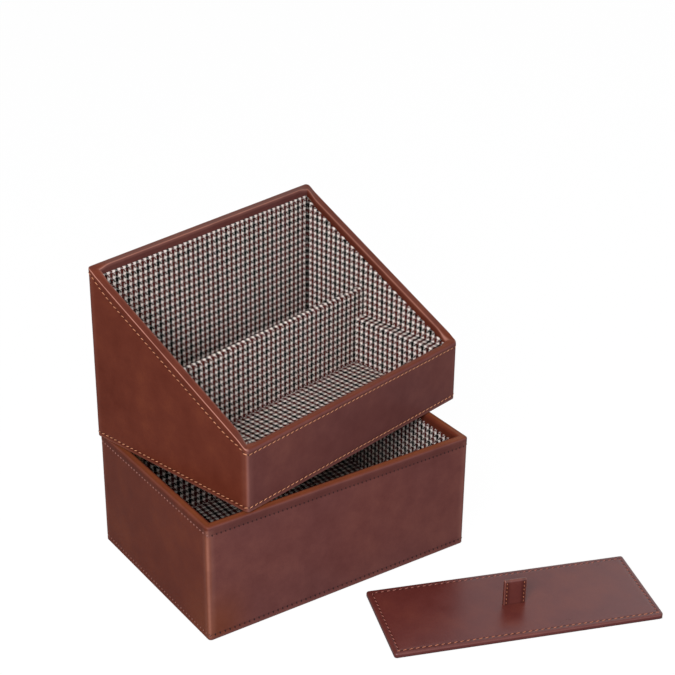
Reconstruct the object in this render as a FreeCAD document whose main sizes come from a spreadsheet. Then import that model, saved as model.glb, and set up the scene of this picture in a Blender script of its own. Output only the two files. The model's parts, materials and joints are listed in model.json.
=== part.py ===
"""Leather valet box: a low drawer box with a sloped tray that swivels on it, and a loose lid.

Frame: millimetres, +X right along the front, +Y back, +Z up.  The origin is the centre of the
underside of the drawer box.  The tray stands swung open by `swing` about a pivot bolt in the
back left corner, and the lid of its front compartment lies on the table at the front right.
"""
import FreeCAD, Part
import Sketcher
import os
import re

# ------------------------------------------------------------------ sizes
# Every driving size, written once: name, value, what it is.  Lengths in mm, angles in degrees.
SIZES = [
    ("box_width", 180.0, "drawer box, outside, along the front"),
    ("box_depth", 125.0, "drawer box, outside, front to back"),
    ("box_height", 74.7, "drawer box, outside, underside of its leather to its rim"),
    ("tray_overhang", 0.5, "how far the tray stands out past the drawer box all round"),
    ("front_height", 39.5, "tray, underside to its front rim"),
    ("back_height", 108.5, "tray, underside to its back rim"),
    ("felt_proud", 0.3, "felt under the drawer box, below its leather"),
    ("skin", 1.2, "leather thickness"),
    ("board", 2.8, "wall and floor board thickness"),
    ("lining", 2.2, "fabric covered card on the walls"),
    ("floor_lining", 1.4, "fabric covered card on the floors"),
    ("turn_in", 5.0, "leather turned down inside, below the rim"),
    ("turn_under", 8.0, "leather turned in under the base"),
    ("corner_radius", 2.4, "outside corners of the leather"),
    ("rim_radius", 0.9, "edge of the leather at the rims"),
    ("front_roll", 2.0, "rolled inner edge of the tray's front rim"),
    ("fold_radius", 0.7, "fold of the fabric over an edge of card"),
    ("swing", 13.36, "how far the tray stands swung open"),
    ("pivot_inset", 12.0, "pivot axis from the back and left faces of the drawer box"),
    ("glide_gap", 0.4, "air between the drawer box rim and the tray"),
    ("shank_bore", 5.1, "running bore of the pivot bush"),
    ("running_clearance", 0.05, "radial clearance of the bolt in the bush"),
    ("thread_diameter", 4.0, "threaded end of the pivot bolt"),
    ("head_diameter", 9.0, "countersunk head of the pivot bolt"),
    ("head_land", 0.4, "straight edge of the bolt head above its cone"),
    ("bush_outer", 8.0, "pivot bush where it is pressed into the corner block"),
    ("collar_outer", 11.0, "collar of the pivot bush, and the glide washer"),
    ("washer_clearance", 0.05, "air over the glide washer"),
    ("block_height", 16.0, "corner block that carries the bush"),
    ("block_clearance", 0.1, "lining cut back around the corner block"),
    ("block_round", 5.0, "rounded free corner of the block"),
    ("nut_width", 7.0, "lock nut across its flats"),
    ("nut_height", 5.0, "lock nut, with its collar"),
    ("nut_collar", 1.5, "round nylon collar of the lock nut"),
    ("nut_play", 0.3, "air between the lock nut and the corner block"),
    ("thread_tip", 1.0, "thread that stands out of the lock nut"),
    ("divider_face", 71.0, "front of the divider, from the front of the tray"),
    ("divider_height", 55.0, "top of the divider, from the underside of the tray"),
    ("divider_board", 2.6, "board inside the divider"),
    ("cover_cloth", 1.0, "padded fabric over the divider"),
    ("divider_flat", 1.0, "flat left along the top of the divider"),
    ("ledge_width", 7.4, "ledges that the lid rests on"),
    ("lid_thickness", 3.2, "lid, leather and board together"),
    ("lid_drop", 0.3, "top of the seated lid below the front rim"),
    ("lid_side_gap", 4.2, "seated lid to the side walls, each side"),
    ("lid_end_gap", 1.6, "seated lid to the front wall and to the divider"),
    ("lid_skin", 0.8, "leather on the lid"),
    ("lid_lining", 0.8, "fabric under the lid"),
    ("lid_proud", 0.3, "fabric under the lid, below its leather"),
    ("lid_corner", 1.6, "outside corners of the lid"),
    ("lid_edge", 0.7, "rolled top edge of the lid"),
    ("lid_spot_x", 72.8, "middle of the lid where it lies on the table"),
    ("lid_spot_y", -130.8, "middle of the lid where it lies on the table"),
    ("lid_turn", -20.3, "how far the lid lies turned"),
    ("tab_width", 13.4, "pull tab along the lid"),
    ("tab_height", 16.4, "pull tab above the lid"),
    ("tab_thickness", 2.6, "pull tab, two layers of leather"),
    ("tab_flat", 0.3, "flat left along the top of the pull tab"),
]

document = FreeCAD.newDocument("valet_box")
sheet = document.addObject("Spreadsheet::Sheet", "Sizes")
for row, (alias, value, meaning) in enumerate(SIZES, start=1):
    sheet.set(f"A{row}", alias)
    sheet.set(f"B{row}", str(value))
    sheet.set(f"C{row}", meaning)
    sheet.setAlias(f"B{row}", alias)
document.recompute()

ALIASES = "|".join(alias for alias, value, meaning in SIZES)

# Where a sketch starts before its sizes are bound, how small a difference counts as none,
# and the small first turn that gives a placement its axis before its angle is bound.
SEED_MIDDLE = FreeCAD.Vector(20, 20, 0)
SEED_SPOKE = FreeCAD.Vector(-5, -5, 0)
SEED_SIZE = 6.0
TINY = 1e-6
FIRST_TURN = 0.001
UP = FreeCAD.Vector(0, 0, 1)

# Lengths that several pieces share, as formulas of the sizes.
BOARD_FACE = "(skin + board)"                     # inner face of the boards, from outside
WALL = "(2 * skin + board)"                       # a whole wall at its rim
CLOTH_FACE = "(skin + board + lining)"            # fabric face, from outside
FLOOR_TOP = "(skin + board)"                      # top of the floor boards
CLOTH_FLOOR = "(skin + board + floor_lining)"     # fabric on the floors
TRAY_WIDTH = "(box_width + 2 * tray_overhang)"
TRAY_DEPTH = "(box_depth + 2 * tray_overhang)"
RISE = f"((back_height - front_height) / {TRAY_DEPTH})"      # slope of the side rims
SKIN_RISE = f"(skin * sqrt(1 + {RISE} * {RISE}))"            # leather on a sloping rim, upright
TRAY_BASE = "(felt_proud + box_height + glide_gap)"          # underside of the tray
TRAY_PIVOT_X = "(pivot_inset + tray_overhang)"
TRAY_PIVOT_Y = f"({TRAY_DEPTH} - pivot_inset - tray_overhang)"
DIVIDER_BACK = "(divider_face + divider_board + 2 * cover_cloth)"
SHANK = "(shank_bore - 2 * running_clearance)"
BLOCK_SIDE = f"(2 * (pivot_inset - {BOARD_FACE}))"
BLOCK_BOTTOM = "(box_height - turn_in - block_height)"       # from the leather's underside
LEDGE_TOP = "(front_height - lid_drop - lid_thickness)"
LID_LENGTH = f"({TRAY_WIDTH} - 2 * {CLOTH_FACE} - 2 * lid_side_gap)"
LID_DEPTH = f"(divider_face - {CLOTH_FACE} - 2 * lid_end_gap)"


def formula(text):
    """The text with each size name pointed at its cell of the sheet."""
    return re.sub(rf"\b({ALIASES})\b", r"Sizes.\1", str(text))


# ------------------------------------------------------------------ building blocks
def new_body(label):
    body = document.addObject("PartDesign::Body", label)
    body.Label = label
    return body


def origin_plane(body, role):
    return next(item for item in body.Origin.OriginFeatures if item.Role == role)


def new_sketch(body, name, role, lift):
    sketch = body.newObject("Sketcher::SketchObject", name)
    sketch.AttachmentSupport = [(origin_plane(body, role), "")]
    sketch.MapMode = "FlatFace"
    sketch.setExpression("AttachmentOffset.Base.z", formula(lift))
    return sketch


def place_point(sketch, geometry, end, axis, where):
    """Hold one coordinate of a point of the sketch to a formula."""
    if where == "0":
        axis_line = -2 if axis == "DistanceX" else -1
        sketch.addConstraint(Sketcher.Constraint("PointOnObject", geometry, end, axis_line))
        return
    index = sketch.addConstraint(Sketcher.Constraint(axis, geometry, end, SEED_SIZE))
    sketch.setExpression(f"Constraints[{index}]", formula(where))


def add_outline(sketch, corners):
    """A closed outline of straight lines, each corner held by two formulas."""
    first = sketch.GeometryCount
    count = len(corners)
    turn = FreeCAD.Rotation(UP, 360.0 / count)
    spoke = SEED_SPOKE
    starts = []
    for corner in range(count):
        starts.append(SEED_MIDDLE + spoke)
        spoke = turn.multVec(spoke)
    for corner in range(count):
        sketch.addGeometry(Part.LineSegment(starts[corner], starts[(corner + 1) % count]))
    for corner in range(count):
        following = first + (corner + 1) % count
        sketch.addConstraint(Sketcher.Constraint("Coincident", first + corner, 2, following, 1))
    for corner, (across, along) in enumerate(corners):
        place_point(sketch, first + corner, 1, "DistanceX", across)
        place_point(sketch, first + corner, 1, "DistanceY", along)


def add_circle(sketch, across, along, diameter):
    circle = sketch.addGeometry(Part.Circle(SEED_MIDDLE, UP, SEED_SIZE / 2))
    place_point(sketch, circle, 3, "DistanceX", across)
    place_point(sketch, circle, 3, "DistanceY", along)
    index = sketch.addConstraint(Sketcher.Constraint("Diameter", circle, SEED_SIZE))
    sketch.setExpression(f"Constraints[{index}]", formula(diameter))


def rectangle(x0, x1, y0, y1):
    return [(x0, y0), (x1, y0), (x1, y1), (x0, y1)]


def extrude(body, sketch, length, cut):
    """Pad along the sketch's normal, or pocket the same way."""
    kind = "PartDesign::Pocket" if cut else "PartDesign::Pad"
    before = body.Tip.Shape.Volume if cut else 0.0
    feature = body.newObject(kind, sketch.Label + ("_cut" if cut else "_pad"))
    feature.Profile = sketch
    feature.setExpression("Length", formula(length))
    feature.Reversed = cut
    sketch.Visibility = False
    body.Tip = feature
    document.recompute()
    if cut and feature.Shape.Volume > before - TINY:
        raise RuntimeError(f"{feature.Label} cuts nothing")
    return feature


def block(body, name, x0, x1, y0, y1, z0, z1, cut=False):
    """A block given by its sides, added to the body or cut out of it."""
    sketch = new_sketch(body, name, "XY_Plane", z0)
    add_outline(sketch, rectangle(x0, x1, y0, y1))
    return extrude(body, sketch, f"({z1}) - ({z0})", cut)


def side_profile(body, name, corners, x0, x1, cut=False):
    """An outline in Y and Z, carried across from x0 to x1."""
    sketch = new_sketch(body, name, "YZ_Plane", x0)
    add_outline(sketch, corners)
    return extrude(body, sketch, f"({x1}) - ({x0})", cut)


def bore(body, name, across, along, diameter, z0, z1):
    sketch = new_sketch(body, name, "XY_Plane", z0)
    add_circle(sketch, across, along, diameter)
    return extrude(body, sketch, f"({z1}) - ({z0})", True)


def turned(body, name, corners):
    """A solid of revolution about the body's own Z axis, from an outline in X and Z."""
    sketch = new_sketch(body, name, "XZ_Plane", "0")
    add_outline(sketch, corners)
    feature = body.newObject("PartDesign::Revolution", name + "_turned")
    feature.Profile = sketch
    feature.ReferenceAxis = (sketch, ["V_Axis"])
    feature.Angle = 360.0
    sketch.Visibility = False
    body.Tip = feature
    document.recompute()
    return feature


def round_edges(body, name, radius, wanted):
    """Fillet the edges of the body's tip that the test `wanted` picks by their ends."""
    base = body.Tip
    names = []
    for number, edge in enumerate(base.Shape.Edges, start=1):
        if wanted(edge.firstVertex().Point, edge.lastVertex().Point):
            names.append(f"Edge{number}")
    if not names:
        raise RuntimeError(f"{name} found no edge")
    fillet = body.newObject("PartDesign::Fillet", name)
    fillet.Base = (base, names)
    fillet.setExpression("Radius", formula(radius))
    body.Tip = fillet
    document.recompute()
    return fillet


def upright(start, end):
    """Whether an edge stands upright."""
    return abs(start.x - end.x) < TINY and abs(start.y - end.y) < TINY


def crosswise(start, end):
    """Whether an edge runs along X."""
    return abs(start.y - end.y) < TINY and abs(start.z - end.z) < TINY


def both_at(axis, value):
    """A test that both ends of an edge lie at one value of X, Y or Z."""
    return lambda start, end: max(abs(getattr(p, axis) - value) for p in (start, end)) < TINY


def size(*aliases):
    """The sum of the sizes named, as a number."""
    return sum(float(sheet.get(alias)) for alias in aliases)


# ------------------------------------------------------------------ places
def in_the_box(body):
    """Stand a piece that is drawn from the drawer box's front left corner."""
    body.setExpression("Placement.Base.x", formula("-box_width / 2"))
    body.setExpression("Placement.Base.y", formula("-box_depth / 2"))
    body.setExpression("Placement.Base.z", formula("felt_proud"))


def turned_place(body, point, turn, own_point, height):
    """Turn a piece by an angle, with a point of its own drawing put on a point of the frame."""
    x, y = point
    own_x, own_y = own_point
    base_x = f"{x} - cos({turn}) * {own_x} + sin({turn}) * {own_y}"
    base_y = f"{y} - sin({turn}) * {own_x} - cos({turn}) * {own_y}"
    body.setExpression("Placement.Base.x", formula(base_x))
    body.setExpression("Placement.Base.y", formula(base_y))
    body.setExpression("Placement.Base.z", formula(height))
    body.Placement.Rotation = FreeCAD.Rotation(UP, FIRST_TURN)
    body.setExpression("Placement.Rotation.Angle", formula(turn))


PIVOT = ("(pivot_inset - box_width / 2)", "(box_depth / 2 - pivot_inset)")


def on_the_tray(body):
    """Stand a piece that is drawn from the tray's front left corner, swung about the pivot."""
    turned_place(body, PIVOT, "swing", (TRAY_PIVOT_X, TRAY_PIVOT_Y), TRAY_BASE)


def on_the_table(body):
    """Lay a piece that is drawn from the lid's front left corner where the lid lies."""
    middle = (f"({LID_LENGTH} / 2)", f"({LID_DEPTH} / 2)")
    turned_place(body, ("lid_spot_x", "lid_spot_y"), "lid_turn", middle, "0")


def on_the_pivot(body, height):
    """Stand a turned piece on the pivot axis, at a height in the drawer box."""
    body.setExpression("Placement.Base.x", formula(PIVOT[0]))
    body.setExpression("Placement.Base.y", formula(PIVOT[1]))
    body.setExpression("Placement.Base.z", formula(f"felt_proud + {height}"))


# ------------------------------------------------------------------ drawer box
def box_board(label, x0, x1, y0, y1, z0, z1):
    body = new_body(label)
    block(body, label + "_plan", x0, x1, y0, y1, z0, z1)
    in_the_box(body)
    return body


def box_boards():
    top = "(box_height - skin)"
    right, back = f"(box_width - {BOARD_FACE})", f"(box_depth - {BOARD_FACE})"
    box_board("box_left_board", "skin", BOARD_FACE, "skin", "box_depth - skin", "skin", top)
    box_board("box_right_board", right, "box_width - skin", "skin", "box_depth - skin", "skin", top)
    box_board("box_front_board", BOARD_FACE, right, "skin", BOARD_FACE, "skin", top)
    box_board("box_back_board", BOARD_FACE, right, back, "box_depth - skin", "skin", top)
    box_board("box_floor_board", BOARD_FACE, right, BOARD_FACE, back, "skin", FLOOR_TOP)


def box_leather():
    """One skin: under the base, up the outside, over the rim and down the inside."""
    body = new_body("box_leather_cover")
    block(body, "outside", "0", "box_width", "0", "box_depth", "0", "box_height")
    round_edges(body, "corners", "corner_radius", upright)
    round_edges(body, "rim_outside", "rim_radius", both_at("z", size("box_height")))
    right, back = f"(box_width - {WALL})", f"(box_depth - {WALL})"
    block(body, "mouth", WALL, right, WALL, back, "skin", "box_height", cut=True)
    rim = both_at("z", size("box_height"))
    edge = size("corner_radius", "skin")

    def at_the_mouth(start, end):
        across = edge < min(start.x, end.x) and max(start.x, end.x) < size("box_width") - edge
        along = edge < min(start.y, end.y) and max(start.y, end.y) < size("box_depth") - edge
        return rim(start, end) and across and along

    round_edges(body, "rim_inside", "rim_radius / 2", at_the_mouth)
    block(body, "lining_room", BOARD_FACE, f"box_width - {BOARD_FACE}", BOARD_FACE,
          f"box_depth - {BOARD_FACE}", "skin", "box_height - turn_in", cut=True)
    block(body, "board_room", "skin", "box_width - skin", "skin", "box_depth - skin",
          "skin", "box_height - turn_in", cut=True)
    add_frame_cut(body, "rim_room", "box_width", "box_depth", "box_height - turn_in", "box_height - skin")
    block(body, "window", "turn_under", "box_width - turn_under", "turn_under",
          "box_depth - turn_under", "0", "skin", cut=True)
    in_the_box(body)


def add_frame_cut(body, name, width, depth, z0, z1):
    """Cut a frame between the skin and the inner face of the boards."""
    right, back = f"{width} - {BOARD_FACE}", f"{depth} - {BOARD_FACE}"
    sketch = new_sketch(body, name, "XY_Plane", z0)
    add_outline(sketch, rectangle("skin", f"{width} - skin", "skin", f"{depth} - skin"))
    add_outline(sketch, rectangle(BOARD_FACE, right, BOARD_FACE, back))
    return extrude(body, sketch, f"({z1}) - ({z0})", True)


def folded_card(card, name, top, axis, face):
    """Round the fabric over a card's top edge, on the side where it shows."""
    level, near = both_at("z", top), both_at(axis, face)
    round_edges(card, name, "fold_radius", lambda start, end: level(start, end) and near(start, end))


def box_linings():
    """Fabric covered cards; the left and back ones are cut out around the corner block."""
    right, back = f"(box_width - {CLOTH_FACE})", f"(box_depth - {CLOTH_FACE})"
    edge_x, edge_y = f"(box_width - {BOARD_FACE})", f"(box_depth - {BOARD_FACE})"
    upper = "(box_height - turn_in)"
    notch_x = f"({BOARD_FACE} + {BLOCK_SIDE} + block_clearance)"
    notch_y = f"({edge_y} - {BLOCK_SIDE} - block_clearance)"
    notch_z = f"({BLOCK_BOTTOM} - block_clearance)"
    top = size("box_height") - size("turn_in")
    cloth = size("skin", "board", "lining")
    far_x, far_y = size("box_width") - cloth, size("box_depth") - cloth

    left_card = box_board("box_left_lining", BOARD_FACE, CLOTH_FACE, BOARD_FACE, edge_y,
                          FLOOR_TOP, upper)
    folded_card(left_card, "left_fold", top, "x", cloth)
    block(left_card, "left_notch", BOARD_FACE, CLOTH_FACE, notch_y, edge_y, notch_z, upper, cut=True)
    right_card = box_board("box_right_lining", right, edge_x, BOARD_FACE, edge_y, FLOOR_TOP, upper)
    folded_card(right_card, "right_fold", top, "x", far_x)
    front_card = box_board("box_front_lining", CLOTH_FACE, right, BOARD_FACE, CLOTH_FACE,
                           FLOOR_TOP, upper)
    folded_card(front_card, "front_fold", top, "y", cloth)
    back_card = box_board("box_back_lining", CLOTH_FACE, right, back, edge_y, FLOOR_TOP, upper)
    folded_card(back_card, "back_fold", top, "y", far_y)
    block(back_card, "back_notch", CLOTH_FACE, notch_x, back, edge_y, notch_z, upper, cut=True)

    box_board("box_floor_lining", CLOTH_FACE, right, CLOTH_FACE, back, FLOOR_TOP, CLOTH_FLOOR)
    felt = box_board("box_base_felt", "turn_under", "box_width - turn_under", "turn_under",
                     "box_depth - turn_under", "0", "skin + felt_proud")
    felt.setExpression("Placement.Base.z", formula("0"))


def corner_block():
    """Hardwood block glued into the back left corner, bored for the bush."""
    body = new_body("corner_block")
    block(body, "block_plan", "0", BLOCK_SIDE, "0", BLOCK_SIDE, "0", "block_height")
    far_side = both_at("x", 2 * (size("pivot_inset") - size("skin", "board")))
    near_side = both_at("y", 0.0)
    round_edges(body, "free_corner", "block_round",
                lambda start, end: far_side(start, end) and near_side(start, end))
    middle = f"({BLOCK_SIDE} / 2)"
    bore(body, "bush_seat", middle, middle, "bush_outer", "0", "block_height")
    body.setExpression("Placement.Base.x", formula(f"{BOARD_FACE} - box_width / 2"))
    body.setExpression("Placement.Base.y", formula(f"box_depth / 2 - {BOARD_FACE} - {BLOCK_SIDE}"))
    body.setExpression("Placement.Base.z", formula(f"felt_proud + {BLOCK_BOTTOM}"))


def pivot_bush():
    """Brass bush: a sleeve pressed through the block, and a collar that the tray turns on."""
    body = new_body("pivot_bush")
    turned(body, "bush_section", [
        ("shank_bore / 2", "0"),
        ("bush_outer / 2", "0"),
        ("bush_outer / 2", "block_height"),
        ("collar_outer / 2", "block_height"),
        ("collar_outer / 2", "block_height + turn_in"),
        ("shank_bore / 2", "block_height + turn_in"),
    ])
    on_the_pivot(body, BLOCK_BOTTOM)


def glide_washer():
    body = new_body("glide_washer")
    height = "(glide_gap - washer_clearance)"
    turned(body, "washer_section", [
        ("shank_bore / 2", "0"),
        ("collar_outer / 2", "0"),
        ("collar_outer / 2", height),
        ("shank_bore / 2", height),
    ])
    on_the_pivot(body, "box_height")


# ------------------------------------------------------------------ tray
def rim_height(y, drop="0"):
    """Height of the sloping side rims at a distance from the front, less a drop."""
    return f"(front_height + {RISE} * ({y}) - ({drop}))"


def sloped(y0, y1, z0, drop):
    """Side view of a wall piece under the sloping rim."""
    return [(y0, z0), (y1, z0), (y1, rim_height(y1, drop)), (y0, rim_height(y0, drop))]


def tray_block(label, x0, x1, y0, y1, z0, z1):
    body = new_body(label)
    block(body, label + "_plan", x0, x1, y0, y1, z0, z1)
    on_the_tray(body)
    return body


def tray_side(label, x0, x1, corners):
    body = new_body(label)
    side_profile(body, label + "_side", corners, x0, x1)
    on_the_tray(body)
    return body


def tray_boards():
    right, back = f"({TRAY_WIDTH} - {BOARD_FACE})", f"({TRAY_DEPTH} - {BOARD_FACE})"
    outer_y = f"({TRAY_DEPTH} - skin)"
    side = sloped("skin", outer_y, "skin", SKIN_RISE)
    tray_side("tray_left_board", "skin", BOARD_FACE, side)
    tray_side("tray_right_board", right, f"{TRAY_WIDTH} - skin", side)
    tray_block("tray_front_board", BOARD_FACE, right, "skin", BOARD_FACE, "skin", "front_height - skin")
    tray_block("tray_back_board", BOARD_FACE, right, back, outer_y, "skin", "back_height - skin")

    floor = tray_block("tray_floor_board", BOARD_FACE, right, BOARD_FACE, back, "skin", FLOOR_TOP)
    bore(floor, "bolt_hole", TRAY_PIVOT_X, TRAY_PIVOT_Y, SHANK, "skin", FLOOR_TOP)
    countersink(floor)


def countersink(body):
    """Cut the seat of the bolt head into the top of the floor board."""
    sketch = new_sketch(body, "head_land_circle", "XY_Plane", f"{FLOOR_TOP} - head_land")
    add_circle(sketch, TRAY_PIVOT_X, TRAY_PIVOT_Y, "head_diameter")
    extrude(body, sketch, "head_land", True)
    cone = body.newObject("PartDesign::SubtractiveCone", "head_cone")
    cone.setExpression("Radius1", formula(f"{SHANK} / 2"))
    cone.setExpression("Radius2", formula("head_diameter / 2"))
    cone.setExpression("Height", formula(f"head_diameter / 2 - {SHANK} / 2"))
    cone.AttachmentSupport = [(origin_plane(body, "XY_Plane"), "")]
    cone.MapMode = "FlatFace"
    cone.setExpression("AttachmentOffset.Base.x", formula(TRAY_PIVOT_X))
    cone.setExpression("AttachmentOffset.Base.y", formula(TRAY_PIVOT_Y))
    cone.setExpression("AttachmentOffset.Base.z",
                       formula(f"{FLOOR_TOP} - head_land - head_diameter / 2 + {SHANK} / 2"))
    body.Tip = cone
    document.recompute()


def tray_leather():
    """One skin over the sloped shell: sloping side rims between level front and back rims."""
    body = new_body("tray_leather_cover")
    right, back = f"({TRAY_WIDTH} - {WALL})", f"({TRAY_DEPTH} - {WALL})"
    board_right = f"({TRAY_WIDTH} - {BOARD_FACE})"
    board_back = f"({TRAY_DEPTH} - {BOARD_FACE})"
    skin_y = f"({TRAY_DEPTH} - skin)"

    side_profile(body, "outside", sloped("0", TRAY_DEPTH, "0", "0"), "0", TRAY_WIDTH)
    round_edges(body, "corners", "corner_radius", upright)
    low = size("front_height") - size("corner_radius")
    round_edges(body, "rim_outside", "rim_radius", lambda start, end: min(start.z, end.z) > low)

    block(body, "back_rim", WALL, right, back, TRAY_DEPTH, "back_height - turn_in", "back_height")
    high = both_at("z", size("back_height"))
    round_edges(body, "back_rim_edges", "rim_radius",
                lambda start, end: high(start, end) and crosswise(start, end))
    block(body, "front_rim", WALL, right, "0", WALL, "front_height", "back_height", cut=True)
    block(body, "mouth", WALL, right, WALL, back, "skin", "back_height", cut=True)
    level = both_at("z", size("front_height"))
    inner = both_at("y", size("skin", "board", "skin"))
    round_edges(body, "front_rim_roll", "front_roll",
                lambda start, end: level(start, end) and inner(start, end))

    side_room = sloped("skin", skin_y, "skin", SKIN_RISE)
    lining_room = sloped(WALL, board_back, "skin", "turn_in")
    side_profile(body, "left_lining_room", lining_room, BOARD_FACE, WALL, cut=True)
    side_profile(body, "right_lining_room", lining_room, right, board_right, cut=True)
    side_profile(body, "left_board_room", side_room, "skin", BOARD_FACE, cut=True)
    side_profile(body, "right_board_room", side_room, board_right, f"{TRAY_WIDTH} - skin", cut=True)
    block(body, "front_lining_room", BOARD_FACE, board_right, BOARD_FACE, WALL, "skin",
          "front_height - turn_in", cut=True)
    block(body, "back_lining_room", BOARD_FACE, board_right, back, board_back, "skin",
          "back_height - turn_in", cut=True)
    block(body, "front_board_room", BOARD_FACE, board_right, "skin", BOARD_FACE, "skin",
          "front_height - skin", cut=True)
    block(body, "back_board_room", BOARD_FACE, board_right, board_back, skin_y, "skin",
          "back_height - skin", cut=True)
    block(body, "window", "turn_under", f"{TRAY_WIDTH} - turn_under", "turn_under",
          f"{TRAY_DEPTH} - turn_under", "0", "skin", cut=True)
    on_the_tray(body)


def tray_linings():
    board_right = f"({TRAY_WIDTH} - {BOARD_FACE})"
    board_back = f"({TRAY_DEPTH} - {BOARD_FACE})"
    cloth_right = f"({TRAY_WIDTH} - {CLOTH_FACE})"
    cloth_back = f"({TRAY_DEPTH} - {CLOTH_FACE})"
    side = sloped(CLOTH_FACE, board_back, FLOOR_TOP, "turn_in")
    cloth = size("skin", "board", "lining")
    far_x = size("box_width", "tray_overhang", "tray_overhang") - cloth
    far_y = size("box_depth", "tray_overhang", "tray_overhang") - cloth

    def slope_fold(card, name, face):
        near = both_at("x", face)
        round_edges(card, name, "fold_radius", lambda start, end: near(start, end)
                    and abs(start.z - end.z) > TINY and abs(start.y - end.y) > TINY)

    left_card = tray_side("tray_left_lining", BOARD_FACE, CLOTH_FACE, side)
    slope_fold(left_card, "left_fold", cloth)
    right_card = tray_side("tray_right_lining", cloth_right, board_right, side)
    slope_fold(right_card, "right_fold", far_x)
    front_card = tray_block("tray_front_lining", BOARD_FACE, board_right, BOARD_FACE, CLOTH_FACE,
                            FLOOR_TOP, "front_height - turn_in")
    folded_card(front_card, "front_fold", size("front_height") - size("turn_in"), "y", cloth)
    back_card = tray_block("tray_back_lining", CLOTH_FACE, cloth_right, cloth_back, board_back,
                           FLOOR_TOP, "back_height - turn_in")
    folded_card(back_card, "back_fold", size("back_height") - size("turn_in"), "y", far_y)

    tray_block("tray_front_floor_lining", CLOTH_FACE, cloth_right, CLOTH_FACE, "divider_face",
               FLOOR_TOP, CLOTH_FLOOR)
    tray_block("tray_rear_floor_lining", CLOTH_FACE, cloth_right, DIVIDER_BACK, cloth_back,
               FLOOR_TOP, CLOTH_FLOOR)

    felt = tray_block("tray_base_felt", "turn_under", f"{TRAY_WIDTH} - turn_under", "turn_under",
                      f"{TRAY_DEPTH} - turn_under", "0", "skin")
    bore(felt, "felt_hole", TRAY_PIVOT_X, TRAY_PIVOT_Y, "shank_bore", "0", "skin")


def divider():
    """A board with padded fabric folded over its top edge, between the two compartments."""
    left, right = CLOTH_FACE, f"({TRAY_WIDTH} - {CLOTH_FACE})"
    board_y0 = "(divider_face + cover_cloth)"
    board_y1 = "(divider_face + cover_cloth + divider_board)"
    board_top = "(divider_height - cover_cloth)"
    tray_block("divider_board", left, right, board_y0, board_y1, FLOOR_TOP, board_top)

    cover = tray_block("divider_cover", left, right, "divider_face", DIVIDER_BACK, FLOOR_TOP,
                       "divider_height")
    top = both_at("z", size("divider_height"))
    round_edges(cover, "top_fold", "(divider_board + 2 * cover_cloth - divider_flat) / 2",
                lambda start, end: top(start, end) and crosswise(start, end))
    block(cover, "board_slot", left, right, board_y0, board_y1, FLOOR_TOP, board_top, cut=True)


def lid_ledges():
    """Fabric covered packings on the side walls of the front compartment; the lid rests on them."""
    inner_left = f"({CLOTH_FACE} + ledge_width)"
    inner_right = f"({TRAY_WIDTH} - {CLOTH_FACE} - ledge_width)"
    top = size("front_height") - size("lid_drop", "lid_thickness")
    reach = size("skin", "board", "lining", "ledge_width")
    far_x = size("box_width", "tray_overhang", "tray_overhang") - reach
    left = tray_block("lid_ledge_left", CLOTH_FACE, inner_left, CLOTH_FACE, "divider_face",
                      CLOTH_FLOOR, LEDGE_TOP)
    folded_card(left, "left_ledge_fold", top, "x", reach)
    right = tray_block("lid_ledge_right", inner_right, f"({TRAY_WIDTH} - {CLOTH_FACE})", CLOTH_FACE,
                       "divider_face", CLOTH_FLOOR, LEDGE_TOP)
    folded_card(right, "right_ledge_fold", top, "x", far_x)


def pivot_bolt():
    """Countersunk shoulder bolt, down through the tray floor, the bush and the block."""
    body = new_body("pivot_bolt")
    shoulder = f"({FLOOR_TOP} + box_height + glide_gap - {BLOCK_BOTTOM} + nut_play)"
    cone = f"(head_diameter / 2 - {SHANK} / 2)"
    bottom = "(nut_height + thread_tip)"
    top = f"({bottom} + {shoulder})"
    turned(body, "bolt_section", [
        ("0", "0"),
        ("thread_diameter / 2", "0"),
        ("thread_diameter / 2", bottom),
        (f"{SHANK} / 2", bottom),
        (f"{SHANK} / 2", f"{top} - head_land - {cone}"),
        ("head_diameter / 2", f"{top} - head_land"),
        ("head_diameter / 2", top),
        ("0", top),
    ])
    on_the_pivot(body, f"{BLOCK_BOTTOM} - nut_play - nut_height - thread_tip")


def lock_nut():
    """Hexagon nut with a round nylon collar, drawn up to the bolt's shoulder."""
    body = new_body("lock_nut")
    hexagon = body.newObject("PartDesign::AdditivePrism", "hexagon")
    hexagon.Polygon = 6
    hexagon.setExpression("Circumradius", formula("nut_width / 2 / cos(30)"))
    hexagon.setExpression("Height", formula("nut_height - nut_collar"))
    hexagon.AttachmentSupport = [(origin_plane(body, "XY_Plane"), "")]
    hexagon.MapMode = "FlatFace"
    hexagon.setExpression("AttachmentOffset.Base.z", formula("nut_collar"))
    body.Tip = hexagon
    document.recompute()
    sketch = new_sketch(body, "collar", "XY_Plane", "0")
    add_circle(sketch, "0", "0", "nut_width")
    extrude(body, sketch, "nut_collar", False)
    bore(body, "thread", "0", "0", "thread_diameter", "0", "nut_height")
    on_the_pivot(body, f"{BLOCK_BOTTOM} - nut_play - nut_height")


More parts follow.
